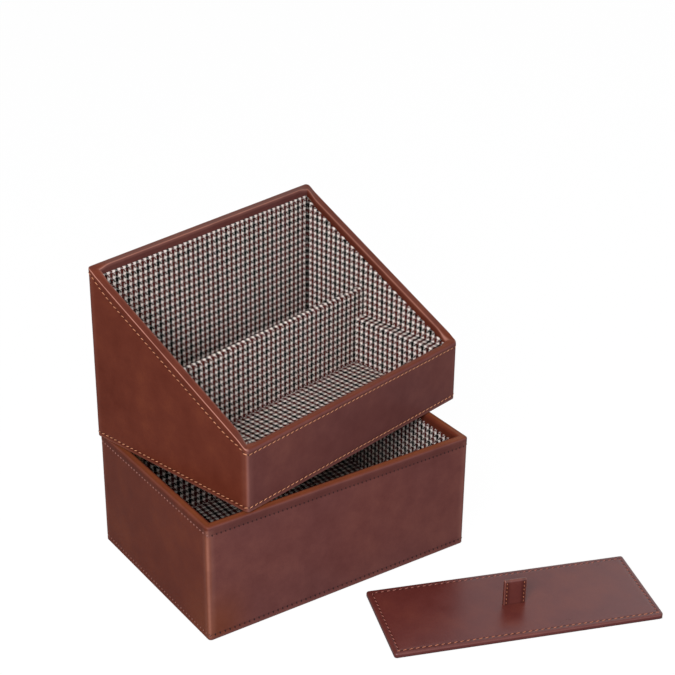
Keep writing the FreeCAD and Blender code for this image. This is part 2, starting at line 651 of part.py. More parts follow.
# ------------------------------------------------------------------ lid
def lid():
    length, depth = LID_LENGTH, LID_DEPTH
    cloth_top = "lid_lining"
    board_top = "(lid_thickness - lid_skin)"
    far_x, far_y = f"({length} - lid_skin)", f"({depth} - lid_skin)"
    slot_x0, slot_x1 = f"({length} / 2 - tab_width / 2)", f"({length} / 2 + tab_width / 2)"
    slot_y0, slot_y1 = f"({depth} / 2 - tab_thickness / 2)", f"({depth} / 2 + tab_thickness / 2)"

    cover = new_body("lid_leather_cover")
    block(cover, "lid_outside", "0", length, "0", depth, "lid_proud", "lid_thickness")
    round_edges(cover, "lid_corners", "lid_corner", upright)
    round_edges(cover, "lid_rolled_edge", "lid_edge", both_at("z", size("lid_thickness")))
    block(cover, "lid_inside", "lid_skin", far_x, "lid_skin", far_y, "lid_proud", board_top, cut=True)
    block(cover, "tab_slot", slot_x0, slot_x1, slot_y0, slot_y1, board_top, "lid_thickness", cut=True)
    on_the_table(cover)

    stiffener = new_body("lid_board")
    block(stiffener, "lid_board_plan", "lid_skin", far_x, "lid_skin", far_y, cloth_top, board_top)
    on_the_table(stiffener)

    cloth = new_body("lid_lining_cloth")
    block(cloth, "lid_cloth_plan", "lid_skin", far_x, "lid_skin", far_y, "0", cloth_top)
    on_the_table(cloth)

    tab = new_body("lid_pull_tab")
    block(tab, "tab_plan", slot_x0, slot_x1, slot_y0, slot_y1, board_top, "lid_thickness + tab_height")
    tip = both_at("z", size("lid_thickness", "tab_height"))
    round_edges(tab, "tab_fold", "(tab_thickness - tab_flat) / 2",
                lambda start, end: tip(start, end) and crosswise(start, end))
    on_the_table(tab)


# ------------------------------------------------------------------ build and check
def build():
    box_boards()
    box_leather()
    box_linings()
    corner_block()
    pivot_bush()
    glide_washer()
    tray_boards()
    tray_leather()
    tray_linings()
    divider()
    lid_ledges()
    pivot_bolt()
    lock_nut()
    lid()
    document.recompute()


def check_and_write():
    for item in document.Objects:
        if "Invalid" in item.State or "Error" in item.State:
            raise RuntimeError(f"{item.Label} failed: {item.State}")
    bodies = [item for item in document.Objects if item.TypeId == "PartDesign::Body"]
    for body in bodies:
        if body.Shape.isNull() or not body.Shape.isValid() or len(body.Shape.Solids) != 1:
            raise RuntimeError(f"{body.Label} is not one valid solid")
    os.makedirs("parts", exist_ok=True)
    for body in bodies:
        body.Shape.exportStep(f"parts/{body.Label}.step")
    print(len(bodies), "sub-parts written")


build()
check_and_write()
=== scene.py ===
"""Looks of the leather valet box: stitched hide, check cloth, and the pivot and boards inside.

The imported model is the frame.  Every piece is drawn in millimetres on its own bench (the
drawer box, the tray or the lid), then put in the row frame in metres, where it rides its body.
"""

import bpy
import bmesh
import json
import math
from mathutils import Euler, Matrix, Vector, noise


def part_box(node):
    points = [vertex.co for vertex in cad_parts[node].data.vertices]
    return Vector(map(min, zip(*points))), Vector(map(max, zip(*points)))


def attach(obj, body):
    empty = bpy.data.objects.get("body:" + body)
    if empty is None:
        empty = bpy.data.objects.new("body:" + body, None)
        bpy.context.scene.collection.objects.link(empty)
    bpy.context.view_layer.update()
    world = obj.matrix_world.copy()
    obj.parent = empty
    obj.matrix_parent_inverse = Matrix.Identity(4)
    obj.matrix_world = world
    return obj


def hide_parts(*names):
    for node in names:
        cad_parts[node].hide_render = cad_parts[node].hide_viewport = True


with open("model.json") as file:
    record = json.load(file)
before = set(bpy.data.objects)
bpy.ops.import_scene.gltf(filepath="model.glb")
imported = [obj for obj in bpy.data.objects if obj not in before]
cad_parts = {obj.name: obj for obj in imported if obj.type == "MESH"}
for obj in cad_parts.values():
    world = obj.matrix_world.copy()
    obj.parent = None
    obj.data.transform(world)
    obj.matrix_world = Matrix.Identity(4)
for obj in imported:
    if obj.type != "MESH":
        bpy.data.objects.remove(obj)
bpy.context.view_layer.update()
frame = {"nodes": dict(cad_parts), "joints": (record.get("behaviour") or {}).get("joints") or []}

MM = 0.001

# ---------------- sizes, in millimetres
HIDE = 1.2                    # leather thickness
BOARD = 2.8                   # boards inside the walls
CARD = 2.2                    # fabric covered cards on the walls
FLOOR_CARD = 1.4              # fabric covered cards on the floors
TURN_IN = 5.0                 # leather turned down inside a rim
TURN_UNDER = 8.0              # leather turned in under a base
BOARD_FACE = HIDE + BOARD
WALL = 2 * HIDE + BOARD
CLOTH_FACE = BOARD_FACE + CARD
OVERHANG = 0.5                # tray past the drawer box, all round
GLIDE_GAP = 0.4               # air between the drawer box's rim and the tray
PIVOT_INSET = 12.0            # pivot to the drawer box's left and back faces
BLOCK_HEIGHT = 16.0           # hardwood block under the pivot
BLOCK_GAP = 0.1               # from the block to the cloth that is cut away for it
CORNER = 2.4                  # outside corners of the leather

BOX_LOW, BOX_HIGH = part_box("box_leather_cover")
BOX_WIDTH = (BOX_HIGH.x - BOX_LOW.x) / MM
BOX_DEPTH = (BOX_HIGH.y - BOX_LOW.y) / MM
BOX_HEIGHT = (BOX_HIGH.z - BOX_LOW.z) / MM
TRAY_WIDTH = BOX_WIDTH + 2 * OVERHANG
TRAY_DEPTH = BOX_DEPTH + 2 * OVERHANG
FRONT_HEIGHT = 39.5
BACK_HEIGHT = 108.5
RISE = (BACK_HEIGHT - FRONT_HEIGHT) / TRAY_DEPTH

DIVIDER_FACE = 71.0
DIVIDER_THICKNESS = 4.6
DIVIDER_HEIGHT = 55.0
LEDGE_WIDTH = 7.4
LID_THICKNESS = 3.2
LID_PROUD = 0.3               # the lid's leather stops this far above its underside
LID_HIDE = 0.8
LID_CORNERS = (1.7, 2.9, 1.6, 1.6)   # the front right one is the roundest
LID_BELOW_RIM = 0.3           # the seated lid, below the tray's front rim
LID_END_GAP = 4.2             # to the tray's side linings
LID_SIDE_GAP = 1.6            # to the front lining and the divider
LEDGE_TOP = FRONT_HEIGHT - LID_BELOW_RIM - LID_THICKNESS
LID_LENGTH = TRAY_WIDTH - 2 * CLOTH_FACE - 2 * LID_END_GAP
LID_DEPTH = DIVIDER_FACE - CLOTH_FACE - 2 * LID_SIDE_GAP
LID_TURN = math.radians(-20.3)   # how the lid lies on the table
TAB_WIDTH, TAB_HEIGHT, TAB_THICKNESS = 13.4, 16.4, 2.6

SWIVEL = next(joint for joint in frame["joints"] if joint["name"] == "tray_swivel")
SWING = -math.radians(SWIVEL["range_deg"][0])

CHECK = 3.94                  # one light and one dark stripe of the check cloth
STITCH = 3.6                  # stitch pitch of the tray and the lid


# ---------------- benches
class Bench:
    """Where a sub-assembly stands: its own front left corner, and how far it is turned."""

    def __init__(self, body, corner, turn=0.0):
        self.body = body
        self.matrix = Matrix.Translation(corner) @ Matrix.Rotation(turn, 4, "Z") @ Matrix.Scale(MM, 4)

    def at(self, point):
        return self.matrix @ Vector(point)


def swung_corner():
    """The tray's front left corner, swung about the pivot bolt."""
    pivot = Vector(SWIVEL["pos_m"])
    arm = Vector((PIVOT_INSET + OVERHANG, TRAY_DEPTH - PIVOT_INSET - OVERHANG, 0)) * MM
    corner = pivot - Matrix.Rotation(SWING, 3, "Z") @ arm
    corner.z = BOX_HIGH.z + GLIDE_GAP * MM
    return corner


def lid_corner():
    """The lid's front left corner, turned about its middle."""
    low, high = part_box("lid_leather_cover")
    middle = (low + high) / 2
    half = Matrix.Rotation(LID_TURN, 3, "Z") @ Vector((LID_LENGTH / 2, LID_DEPTH / 2, 0)) * MM
    corner = middle - half
    corner.z = 0.0
    return corner


BOX = Bench("drawer_box", BOX_LOW)
TRAY = Bench("tray", swung_corner(), SWING)
LID = Bench("lid", lid_corner(), LID_TURN)


# ---------------- node writing
def sums(operation):
    """A method that adds a Math node."""
    def method(self, *others):
        return self.tree.node("ShaderNodeMath", {"operation": operation},
                              {i: value for i, value in enumerate((self, *others))}).out()
    return method


class Wire:
    """A number socket that takes part in sums."""

    def __init__(self, tree, socket):
        self.tree = tree
        self.socket = socket

    __add__ = __radd__ = sums("ADD")
    __sub__ = sums("SUBTRACT")
    __mul__ = __rmul__ = sums("MULTIPLY")
    __truediv__ = sums("DIVIDE")
    __mod__ = sums("FLOORED_MODULO")
    __lt__ = sums("LESS_THAN")
    __gt__ = sums("GREATER_THAN")
    floor = sums("FLOOR")
    size = sums("ABSOLUTE")
    cosine = sums("COSINE")
    smallest = sums("MINIMUM")
    largest = sums("MAXIMUM")

    def __rsub__(self, other):
        return (self * -1.0) + other

    def clamped(self):
        return self.largest(0.0).smallest(1.0)


class Placed:
    """A node just added, with its outputs."""

    def __init__(self, tree, node):
        self.tree = tree
        self.node = node

    def out(self, name=0):
        return Wire(self.tree, self.node.outputs[name])


class Tree:
    """A shader or geometry tree that is written one node at a time."""

    def __init__(self, nodes, links):
        self.nodes = nodes
        self.links = links

    def node(self, kind, settings=None, inputs=None):
        node = self.nodes.new(kind)
        for name, value in (settings or {}).items():
            if name == "stops":
                self.set_stops(node.color_ramp, value)
            else:
                setattr(node, name, value)
        self.feed(node, inputs or {})
        return Placed(self, node)

    def feed(self, node, inputs):
        """Link or set the sockets of a node."""
        for name, value in inputs.items():
            if isinstance(value, Wire):
                self.links.new(value.socket, node.inputs[name])
            else:
                node.inputs[name].default_value = value

    def place(self):
        """The place on the piece, in its own coordinates."""
        return self.node("ShaderNodeTexCoord").out("Object")

    @staticmethod
    def set_stops(ramp, stops):
        while len(ramp.elements) < len(stops):
            ramp.elements.new(0.5)
        for element, (position, colour) in zip(ramp.elements, stops):
            element.position = position
            element.color = (*colour, 1.0)

    def ramp(self, factor, stops):
        return self.node("ShaderNodeValToRGB", {"stops": stops}, {"Fac": factor}).out("Color")

    def blend(self, factor, first, second, mode="MIX"):
        """The second colour over the first."""
        first = (*first, 1.0) if isinstance(first, tuple) else first
        second = (*second, 1.0) if isinstance(second, tuple) else second
        return self.node("ShaderNodeMix", {"data_type": "RGBA", "blend_type": mode},
                         {0: factor, 6: first, 7: second}).out(2)

    def cloud(self, place, size, detail=3.0, rough=0.5):
        """Noise with features of a size in millimetres, from 0 to 1."""
        return self.node("ShaderNodeTexNoise", {}, {"Vector": place, "Scale": 1 / (size * MM),
                                                    "Detail": detail, "Roughness": rough}).out("Fac")

    def bands(self, place, direction, size, distortion, detail=2.0):
        """Bands that lie a size in millimetres apart, more or less, from 0 to 1."""
        return self.node("ShaderNodeTexWave", {"bands_direction": direction},
                         {"Vector": place, "Scale": 1 / (size * MM), "Distortion": distortion,
                          "Detail": detail}).out("Fac")

    def mark(self, name):
        """A number painted on the mesh."""
        return self.node("ShaderNodeAttribute", {"attribute_name": name}).out("Fac")

    def bump(self, height, depth, strength=1.0, under=None):
        """A bump of a depth in millimetres."""
        inputs = {"Height": height, "Distance": depth * MM, "Strength": strength}
        if under is not None:
            inputs["Normal"] = under
        return self.node("ShaderNodeBump", {}, inputs).out("Normal")


def emptied(owner):
    """The tree of a material or a world, with nothing in it."""
    owner.use_nodes = True
    owner.node_tree.nodes.clear()
    return Tree(owner.node_tree.nodes, owner.node_tree.links)


def finish(name):
    """A new material and its tree, with a Principled shader that is wired to the output."""
    material = bpy.data.materials.new(name)
    tree = emptied(material)
    shader = tree.node("ShaderNodeBsdfPrincipled")
    tree.node("ShaderNodeOutputMaterial", {}, {"Surface": shader.out("BSDF")})
    return material, tree, shader.node


# ---------------- materials
HIDE_DARK = (0.034, 0.0065, 0.0035)      # in folds and grooves: pressed leather and painted shade
# the lighter end of the painted shade in a stitch's needle hole
HIDE_IN_HOLE_SHADE = (0.050, 0.0095, 0.0055)
HIDE_DEEP = (0.094, 0.0175, 0.0085)
HIDE_PLUM = (0.126, 0.0272, 0.0140)
HIDE_WARM = (0.166, 0.0405, 0.0185)
LID_DEEP = (0.090, 0.0160, 0.0130)
LID_PLUM = (0.116, 0.0245, 0.0195)
LID_WARM = (0.148, 0.0340, 0.0220)
HIDE_TAN = (0.300, 0.0920, 0.0290)
# edges that are rubbed, and the painted highlight on them
EDGE_RUB_HIGHLIGHT = (0.620, 0.3000, 0.2200)
# a reflection of the bright floor, painted grey-lilac on the faces that are turned to the front
PAINTED_FRONT_REFLECTION = (0.360, 0.4300, 0.5600)
PAINTED_REFLECTION_FACING = (0.15, -0.98, 0.0)           # where the faces with the painted reflection are turned
PORE = 0.5


def hide_finish(name, roughness, gloss, sheen, painted_reflection_share, dyes):
    """Waxed smooth leather: a cloudy dye, fine pores, tan where it is stretched (on the drawer box's rim top
    partly painted highlight), lighter edges that are rubbed and partly painted highlight.

    Sizes are in millimetres.  A grey-lilac reflection of the bright floor is painted on the faces that are
    turned to the front, and pressed places carry painted shade."""
    material, tree, shader = finish(name)
    deep, middle, warm = dyes
    own = tree.node("ShaderNodeTexCoord")
    place = own.out("Object")
    broad = tree.cloud(place, 55, 2.0)
    cloudy = tree.cloud(place, 12, 5.0, 0.62)
    fine = tree.cloud(place, 0.9, 3.0, 0.6)
    pores = tree.node("ShaderNodeTexVoronoi", {"feature": "SMOOTH_F1"},
                      {"Vector": place, "Scale": 1 / (PORE * MM), "Smoothness": 0.6}).out("Distance")
    rubbed = tree.mark("rubbed")
    pressed = tree.mark("pressed")
    tanned = tree.mark("tanned")

    tone = broad * 0.45 + cloudy * 0.55
    dye = tree.ramp(tone, [(0.28, deep), (0.5, middle), (0.72, warm)])
    dye = tree.blend((fine * 1.6 - 0.55).clamped() * 0.55, dye, HIDE_DEEP)
    # The painted reflection: faces turned to the front get a grey-lilac tint, less where the leather is tan.
    to_front = tree.node("ShaderNodeVectorMath", {"operation": "DOT_PRODUCT"},
                         {0: own.out("Normal"), 1: PAINTED_REFLECTION_FACING}).out("Value")
    painted_reflection = ((to_front - 0.6) * 4.0).clamped() * (cloudy * 0.6 + 0.7)
    dye = tree.blend(painted_reflection * (1 - tanned * 3).clamped() * painted_reflection_share, dye, PAINTED_FRONT_REFLECTION)
    dye = tree.blend(tanned * (cloudy * 0.6 + 0.7), dye, HIDE_TAN)
    # pressed leather, and painted shade in grooves, turn-ins, the tab's foot and the lid's lower edge
    dye = tree.blend(pressed * 0.8, dye, HIDE_DARK)
    # rubbed edges and painted highlight
    dye = tree.blend((rubbed * (cloudy * 0.8 + 0.5)).clamped(), dye, EDGE_RUB_HIGHLIGHT)

    creases = tree.cloud(place, 6.0, 4.0, 0.62)
    normal = tree.bump(creases, 0.03, 0.3)
    normal = tree.bump(pores, 0.02, 0.3, normal)
    tree.feed(shader, {
        "Base Color": dye,
        "Roughness": (cloudy - 0.5) * 0.14 + fine * 0.05 - rubbed * 0.06 + roughness,
        "Normal": normal,
        "Specular IOR Level": gloss,
        "Specular Tint": (*sheen, 1.0),
    })
    return material


CREAM = (0.90, 0.82, 0.74)
BLACK = (0.0078, 0.0066, 0.0056)
RUST = (0.088, 0.018, 0.014)
CLOTH_SHADE = (0.66, 0.63, 0.61)
WHITE = (1.0, 1.0, 1.0)
THREADS_IN_CHECK = 8
WEFT_BULK = 0.4               # in threads: how far the dark weft spreads over the light weft
CLOTH_WANDER = 0.8            # how far the threads stray from straight lines


def check_cloth():
    """Gun club check: a 2/2 twill of four light and four dark threads, darks black and rust by turns.

    The dark threads are bulkier than the light ones, so they cover more of those they cross."""
    material, tree, shader = finish("check_cloth")
    place = tree.node("ShaderNodeUVMap", {"uv_map": "weave"}).out("UV")
    wander = tree.node("ShaderNodeTexNoise", {}, {"Vector": place, "Scale": 1 / (25 * MM), "Detail": 2.0})
    place = tree.node("ShaderNodeVectorMath", {"operation": "MULTIPLY_ADD"},
                      {0: wander.out("Color"), 1: (CLOTH_WANDER * MM, CLOTH_WANDER * MM, 0), 2: place}).out()
    parts = tree.node("ShaderNodeSeparateXYZ", {}, {"Vector": place})
    thread = CHECK / THREADS_IN_CHECK * MM
    across, along = parts.out("X") / thread, parts.out("Y") / thread
    along = along - (along * (math.pi / 4)).cosine() * WEFT_BULK
    warp, weft = across.floor(), along.floor()

    def is_dark(number):
        return (number / 4).floor() % 2

    def yarn(number):
        """Colour of a thread by its number: four light, four black, four light, four rust."""
        dark = tree.blend((number / 4).floor() % 4 > 2, BLACK, RUST)
        return tree.blend(is_dark(number), CREAM, dark)

    def off_middle(number):
        return ((number % 1) - 0.5).size()

    warp_on_top = ((warp + weft) % 4) < 2
    warp_covers = off_middle(across) < is_dark(warp) * 0.22 + 0.28
    weft_covers = off_middle(along) < is_dark(weft) * 0.36 + 0.12
    warp_shows = warp_on_top * warp_covers + (1 - warp_on_top) * (1 - weft_covers)
    warp_shows = warp_shows.largest(1 - is_dark(warp) - is_dark(weft))
    colour = tree.blend(warp_shows, yarn(weft), yarn(warp))
    wool = tree.cloud(place, 0.4, 2.0)
    patchy = tree.cloud(place, 3.0, 2.0)
    worn = tree.ramp(wool * 0.6 + patchy * 0.4, [(0.3, CLOTH_SHADE), (0.6, WHITE)])
    colour = tree.blend(0.8, colour, worn, "MULTIPLY")

    def roundness(number):
        away = off_middle(number) * 2
        return 1 - away * away

    height = roundness(across) * warp_on_top + roundness(along) * (1 - warp_on_top)
    normal = tree.bump(height, 0.16, 0.6)
    normal = tree.bump(wool, 0.08, 0.5, normal)
    tree.feed(shader, {"Base Color": colour, "Roughness": 0.9, "Normal": normal,
                       "Specular IOR Level": 0.04})
    return material


def thread_finish(name, light, dark, gloss=0.35):
    """Waxed linen thread, its twist seen as fine slanting bands."""
    material, tree, shader = finish(name)
    place = tree.place()
    twist = tree.bands(place, "DIAGONAL", 2.2, 1.5)
    patchy = tree.cloud(place, 4.0, 2.0)
    colour = tree.blend((patchy * 0.7 + twist * 0.3).clamped(), dark, light)
    tree.feed(shader, {"Base Color": colour, "Roughness": 0.5, "Normal": tree.bump(twist, 0.06, 0.5),
                       "Specular IOR Level": gloss})
    return material


def hole_shade_hide():
    """Leather pressed down around a stitch, painted dark as the shade in its needle hole."""
    material, tree, shader = finish("hole_shade_hide")
    place = tree.place()
    fine = tree.cloud(place, 1.0, 3.0)
    tree.feed(shader, {"Base Color": tree.ramp(fine, [(0.3, HIDE_DARK), (0.7, HIDE_IN_HOLE_SHADE)]),
                       "Roughness": fine * 0.2 + 0.5, "Normal": tree.bump(fine, 0.04, 0.5),
                       "Specular IOR Level": 0.15})
    return material


def plain_finish(name, dark, light, grain, roughness, bump, patches=None, stops=(0.3, 0.7), **more):
    """A material that goes from dark to light with its grain and patches, and whose grain stands up.

    The grain is a cloud's sizes or, when they begin with a direction, those of bands.  The patches
    are their share of the tone, then a cloud's sizes."""
    material, tree, shader = finish(name)
    place = tree.place()
    grain = (tree.bands if isinstance(grain[0], str) else tree.cloud)(place, *grain)
    tone = grain
    if patches:
        share, *sizes = patches
        tone = grain * (1 - share) + tree.cloud(place, *sizes) * share
    tree.feed(shader, {"Base Color": tree.ramp(tone, list(zip(stops, (dark, light)))),
                       "Roughness": roughness, "Normal": tree.bump(grain, *bump), **more})
    return material


def turned_metal(name, colour, roughness):
    """Metal with the fine rings of a lathe tool, dulled in patches."""
    material, tree, shader = finish(name)
    place = tree.place()
    tool_marks = tree.bands(place, "Z", 0.5, 0.6)
    smudges = tree.cloud(place, 2.5, 3.0)
    dull = tuple(part * 0.72 for part in colour)
    tree.feed(shader, {"Base Color": tree.blend(smudges, colour, dull), "Metallic": 1.0,
                       "Roughness": smudges * 0.25 + roughness,
                       "Normal": tree.bump(tool_marks, 0.01, 0.5)})
    return material


# ---------------- meshes
MERGE = 0.004                 # points closer than this become one
SHARP = math.radians(52)      # edges bent more than this stay sharp


def piece(name, bench, points, faces, material, marks=None, weave=None):
    """A closed mesh in the row frame, from points in the bench's millimetres."""
    work = bmesh.new()
    layers = {key: work.verts.layers.float.new(key) for key in (marks or {})}
    uv_layer = work.loops.layers.uv.new("weave") if weave else None
    verts = [work.verts.new(bench.at(point)) for point in points]
    for key, values in (marks or {}).items():
        for vert, value in zip(verts, values):
            vert[layers[key]] = value
    for face in faces:
        made = work.faces.new([verts[index] for index in face])
        made.smooth = True
        if weave:
            for loop, index in zip(made.loops, face):
                loop[uv_layer].uv = (weave[index][0] * MM, weave[index][1] * MM)
    bmesh.ops.remove_doubles(work, verts=work.verts, dist=MERGE * MM)
    bmesh.ops.recalc_face_normals(work, faces=work.faces)
    mesh = bpy.data.meshes.new(name)
    work.to_mesh(mesh)
    work.free()
    mesh.set_sharp_from_angle(angle=SHARP)
    mesh.materials.append(material)
    return stand(name, mesh)


def stand(name, data):
    """A new object in the scene."""
    made = bpy.data.objects.new(name, data)
    bpy.context.scene.collection.objects.link(made)
    return made


def put_on(thing, bench, slot, *nodes):
    """The piece rides its bench's body and stands for these nodes."""
    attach(thing, bench.body)
    if nodes:
        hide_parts(*nodes)
    return thing


def ramp_up(value, low, high):
    """0 below low, 1 above high, smooth between."""
    t = min(max((value - low) / (high - low), 0.0), 1.0)
    return t * t * (3 - 2 * t)


def lerp(a, b, t):
    """From a to b as t goes from 0 to 1."""
    return a + (b - a) * t


class Station:
    """A place on the way round a rectangle with rounded corners."""

    def __init__(self, spot, to_corner, side, bend=0.0):
        self.spot = spot              # function of the inset: the point, in X and Y
        self.to_corner = to_corner    # distance to the nearest corner, along the side
        self.side = side              # 0 front, 1 right, 2 back, 3 left; corners between
        self.bend = bend              # 1 in the middle of a corner's bend, 0 off it


BEND_STEPS = 6
NEAR_CORNER = [0.0, 0.8, 1.8, 3.2, 5.0, 7.5]   # stations lie closer together beside a corner


def round_spot(corner, inward, radius, turn):
    """A place on a corner's bend, as a function of the inset."""
    def spot(inset):
        back = max(radius, inset)
        reach = max(radius - inset, 0.0)
        return (corner[0] + inward[0] * back + math.cos(turn) * reach,
                corner[1] + inward[1] * back + math.sin(turn) * reach)
    return spot


def straight_spot(corner, way, share, length, radii):
    """A place a share of the way along a side, as a function of the inset."""
    def spot(inset):
        run = lerp(max(radii[0], inset), length - max(radii[1], inset), share)
        return (corner[0] + way[0] * run - way[1] * inset, corner[1] + way[1] * run + way[0] * inset)
    return spot


def stations(width, depth, radii, spacing):
    """Stations round a rectangle, anticlockwise from the front left corner; one radius or four."""
    radii = radii if isinstance(radii, tuple) else (radii,) * 4
    corners = [(0, 0), (width, 0), (width, depth), (0, depth)]
    inward = [(1, 1), (-1, 1), (-1, -1), (1, -1)]
    far = NEAR_CORNER[-1]
    found = []
    for number, corner in enumerate(corners):
        after = (number + 1) % 4
        for step in range(1, BEND_STEPS):
            bent = step / BEND_STEPS
            turn = math.radians(180 + 90 * number + 90 * bent)
            spot = round_spot(corner, inward[number], radii[number], turn)
            found.append(Station(spot, 0.0, number - 1 + bent, math.sin(math.pi * bent) ** 2))
        run = (corners[after][0] - corner[0], corners[after][1] - corner[1])
        length = math.hypot(*run)
        way = (run[0] / length, run[1] / length)
        free = length - radii[number] - radii[after]
        middle = max(int((free - 2 * far) / spacing), 1)
        places = NEAR_CORNER[:-1] + [lerp(far, free - far, i / middle) for i in range(middle + 1)]
        places += [free - value for value in reversed(NEAR_CORNER[:-1])]
        for along in places:
            spot = straight_spot(corner, way, along / free, length, (radii[number], radii[after]))
            found.append(Station(spot, min(along, free - along), number))
    return found


def wobble(point, size, seed):
    """Smooth unevenness from -1 to 1, with waves of a size in millimetres."""
    return noise.noise(Vector(point) / size + Vector((seed, 2.7 * seed, -seed)))


def arc(centre, radius, start, end, steps):
    """Points round part of a circle, in degrees."""
    turns = [math.radians(lerp(start, end, step / steps)) for step in range(steps + 1)]
    return [(centre[0] + radius * math.cos(turn), centre[1] + radius * math.sin(turn)) for turn in turns]


def sweep_round(ring, section, closed):
    """Sweep a section round the stations.  A section lists rows of (inset, height, marks).

    A section that isn't closed in itself gets a flat face over its first row and its last.
    """
    points, marks, faces = [], [], []
    for station in ring:
        for inset, height, mark in section(station):
            points.append((*station.spot(inset), height))
            marks.append(mark)
    rows = len(points) // len(ring)
    for i in range(len(ring)):
        j = (i + 1) % len(ring)
        for k in range(rows if closed else rows - 1):
            n = (k + 1) % rows
            faces.append((i * rows + k, j * rows + k, j * rows + n, i * rows + n))
    if not closed:
        faces += [tuple(range(first, len(points), rows)) for first in (0, rows - 1)]
    return points, faces, by_name(marks)


def by_name(marks):
    """The marks of each point, as a list for each mark's name."""
    return {name: [mark[i] for mark in marks] for i, name in enumerate(("rubbed", "pressed", "tanned"))}


# Across a groove: place in half widths, share of the depth, and how far the leather is pressed and darkened
# with painted shade.
GROOVE = ((-1.6, 0.0, 0.0), (-1.0, 0.18, 0.3), (-0.5, 0.7, 0.8), (0.0, 1.0, 1.0),
          (0.5, 0.7, 0.8), (1.0, 0.18, 0.3), (1.6, 0.0, 0.0))


def groove(height, half, depth):
    """Rows across a line where the leather is drawn in: (inset, height, pressed and painted shade)."""
    return [(depth * share, height + half * place, press_shade) for place, share, press_shade in GROOVE]


def tube_faces(columns, rows):
    """Faces of a closed section swept along a line, with both ends closed."""
    faces = []
    for column in range(columns - 1):
        for row in range(rows):
            n = (row + 1) % rows
            faces.append((column * rows + row, (column + 1) * rows + row,
                          (column + 1) * rows + n, column * rows + n))
    last = (columns - 1) * rows
    return faces + [tuple(range(rows)), tuple(reversed(range(last, last + rows)))]


# ---------------- leather walls
FACE = 0.12                   # the outer face lies this far inside the outside size
FACE_STEPS = 14
ROLL_STEPS = 6
FOOT_ROUND = 0.8              # radius of the edge it stands on
FOOT_GROOVE = (0.55, 0.16)    # half width and depth of the groove under the lower stitches
FOOT_PRESS = 0.7              # how dark that groove is, beside the upper one
SEAM_HALF = 0.5               # half the width of the groove under the upper stitches
SEAM_ON_FACE = (1, 1, 0.95, 0.85, 0.65, 0.35, 0.15)   # above it the face comes out
BAND_DARK = 0.12              # how dark the leather is above the upper stitches,
TURN_IN_SHADE = 0.35           # painted shade where it is turned in, inside a rim,
MITRE_DARK = 0.7              # and where it is folded, on a rim's corners
STITCH_SUNK = 0.18            # the middle of a stitch, inside the face
EDGE_REACH = 3.5              # an upright edge is rubbed and given a little painted highlight this far to its sides


def drawn_in(point, width, depth):
    """Leather drawn over a board by hand is never quite flat: move a point in a little."""
    x, y, z = point
    foot, skin = 0.5, 1.0
    if z < foot:
        return point
    pull = 0.10 * (0.5 + 0.5 * wobble(point, 26.0, 3.0)) + 0.05 * (0.5 + 0.5 * wobble(point, 7.0, 5.0))
    x += pull if x < skin else -pull if x > width - skin else 0.0
    y += pull if y < skin else -pull if y > depth - skin else 0.0
    return (x, y, z)


PLAIN = (0.0, 0.0, 0.0)       # leather with no rubbing or painted highlight, no pressing or painted shade, and no tan


class Roll:
    """How a rim is rounded, and where its leather is rubbed and given painted highlight (outer, inner edge)
    or tan, partly painted highlight (on top).
    """

    def __init__(self, outer, inner, worn_outer, worn_inner, tan):
        self.outer, self.inner = outer, inner
        self.worn_outer, self.worn_inner, self.tan = worn_outer, worn_inner, tan

    def mixed(self, other, share):
        pairs = zip(vars(self).values(), vars(other).values())
        return Roll(*(lerp(mine, theirs, share) for mine, theirs in pairs))


def crown(step):
    """1 on the middle row of a roll, less on the rows to its sides."""
    return math.sin(math.pi * (step + 0.6) / (ROLL_STEPS + 1.2))


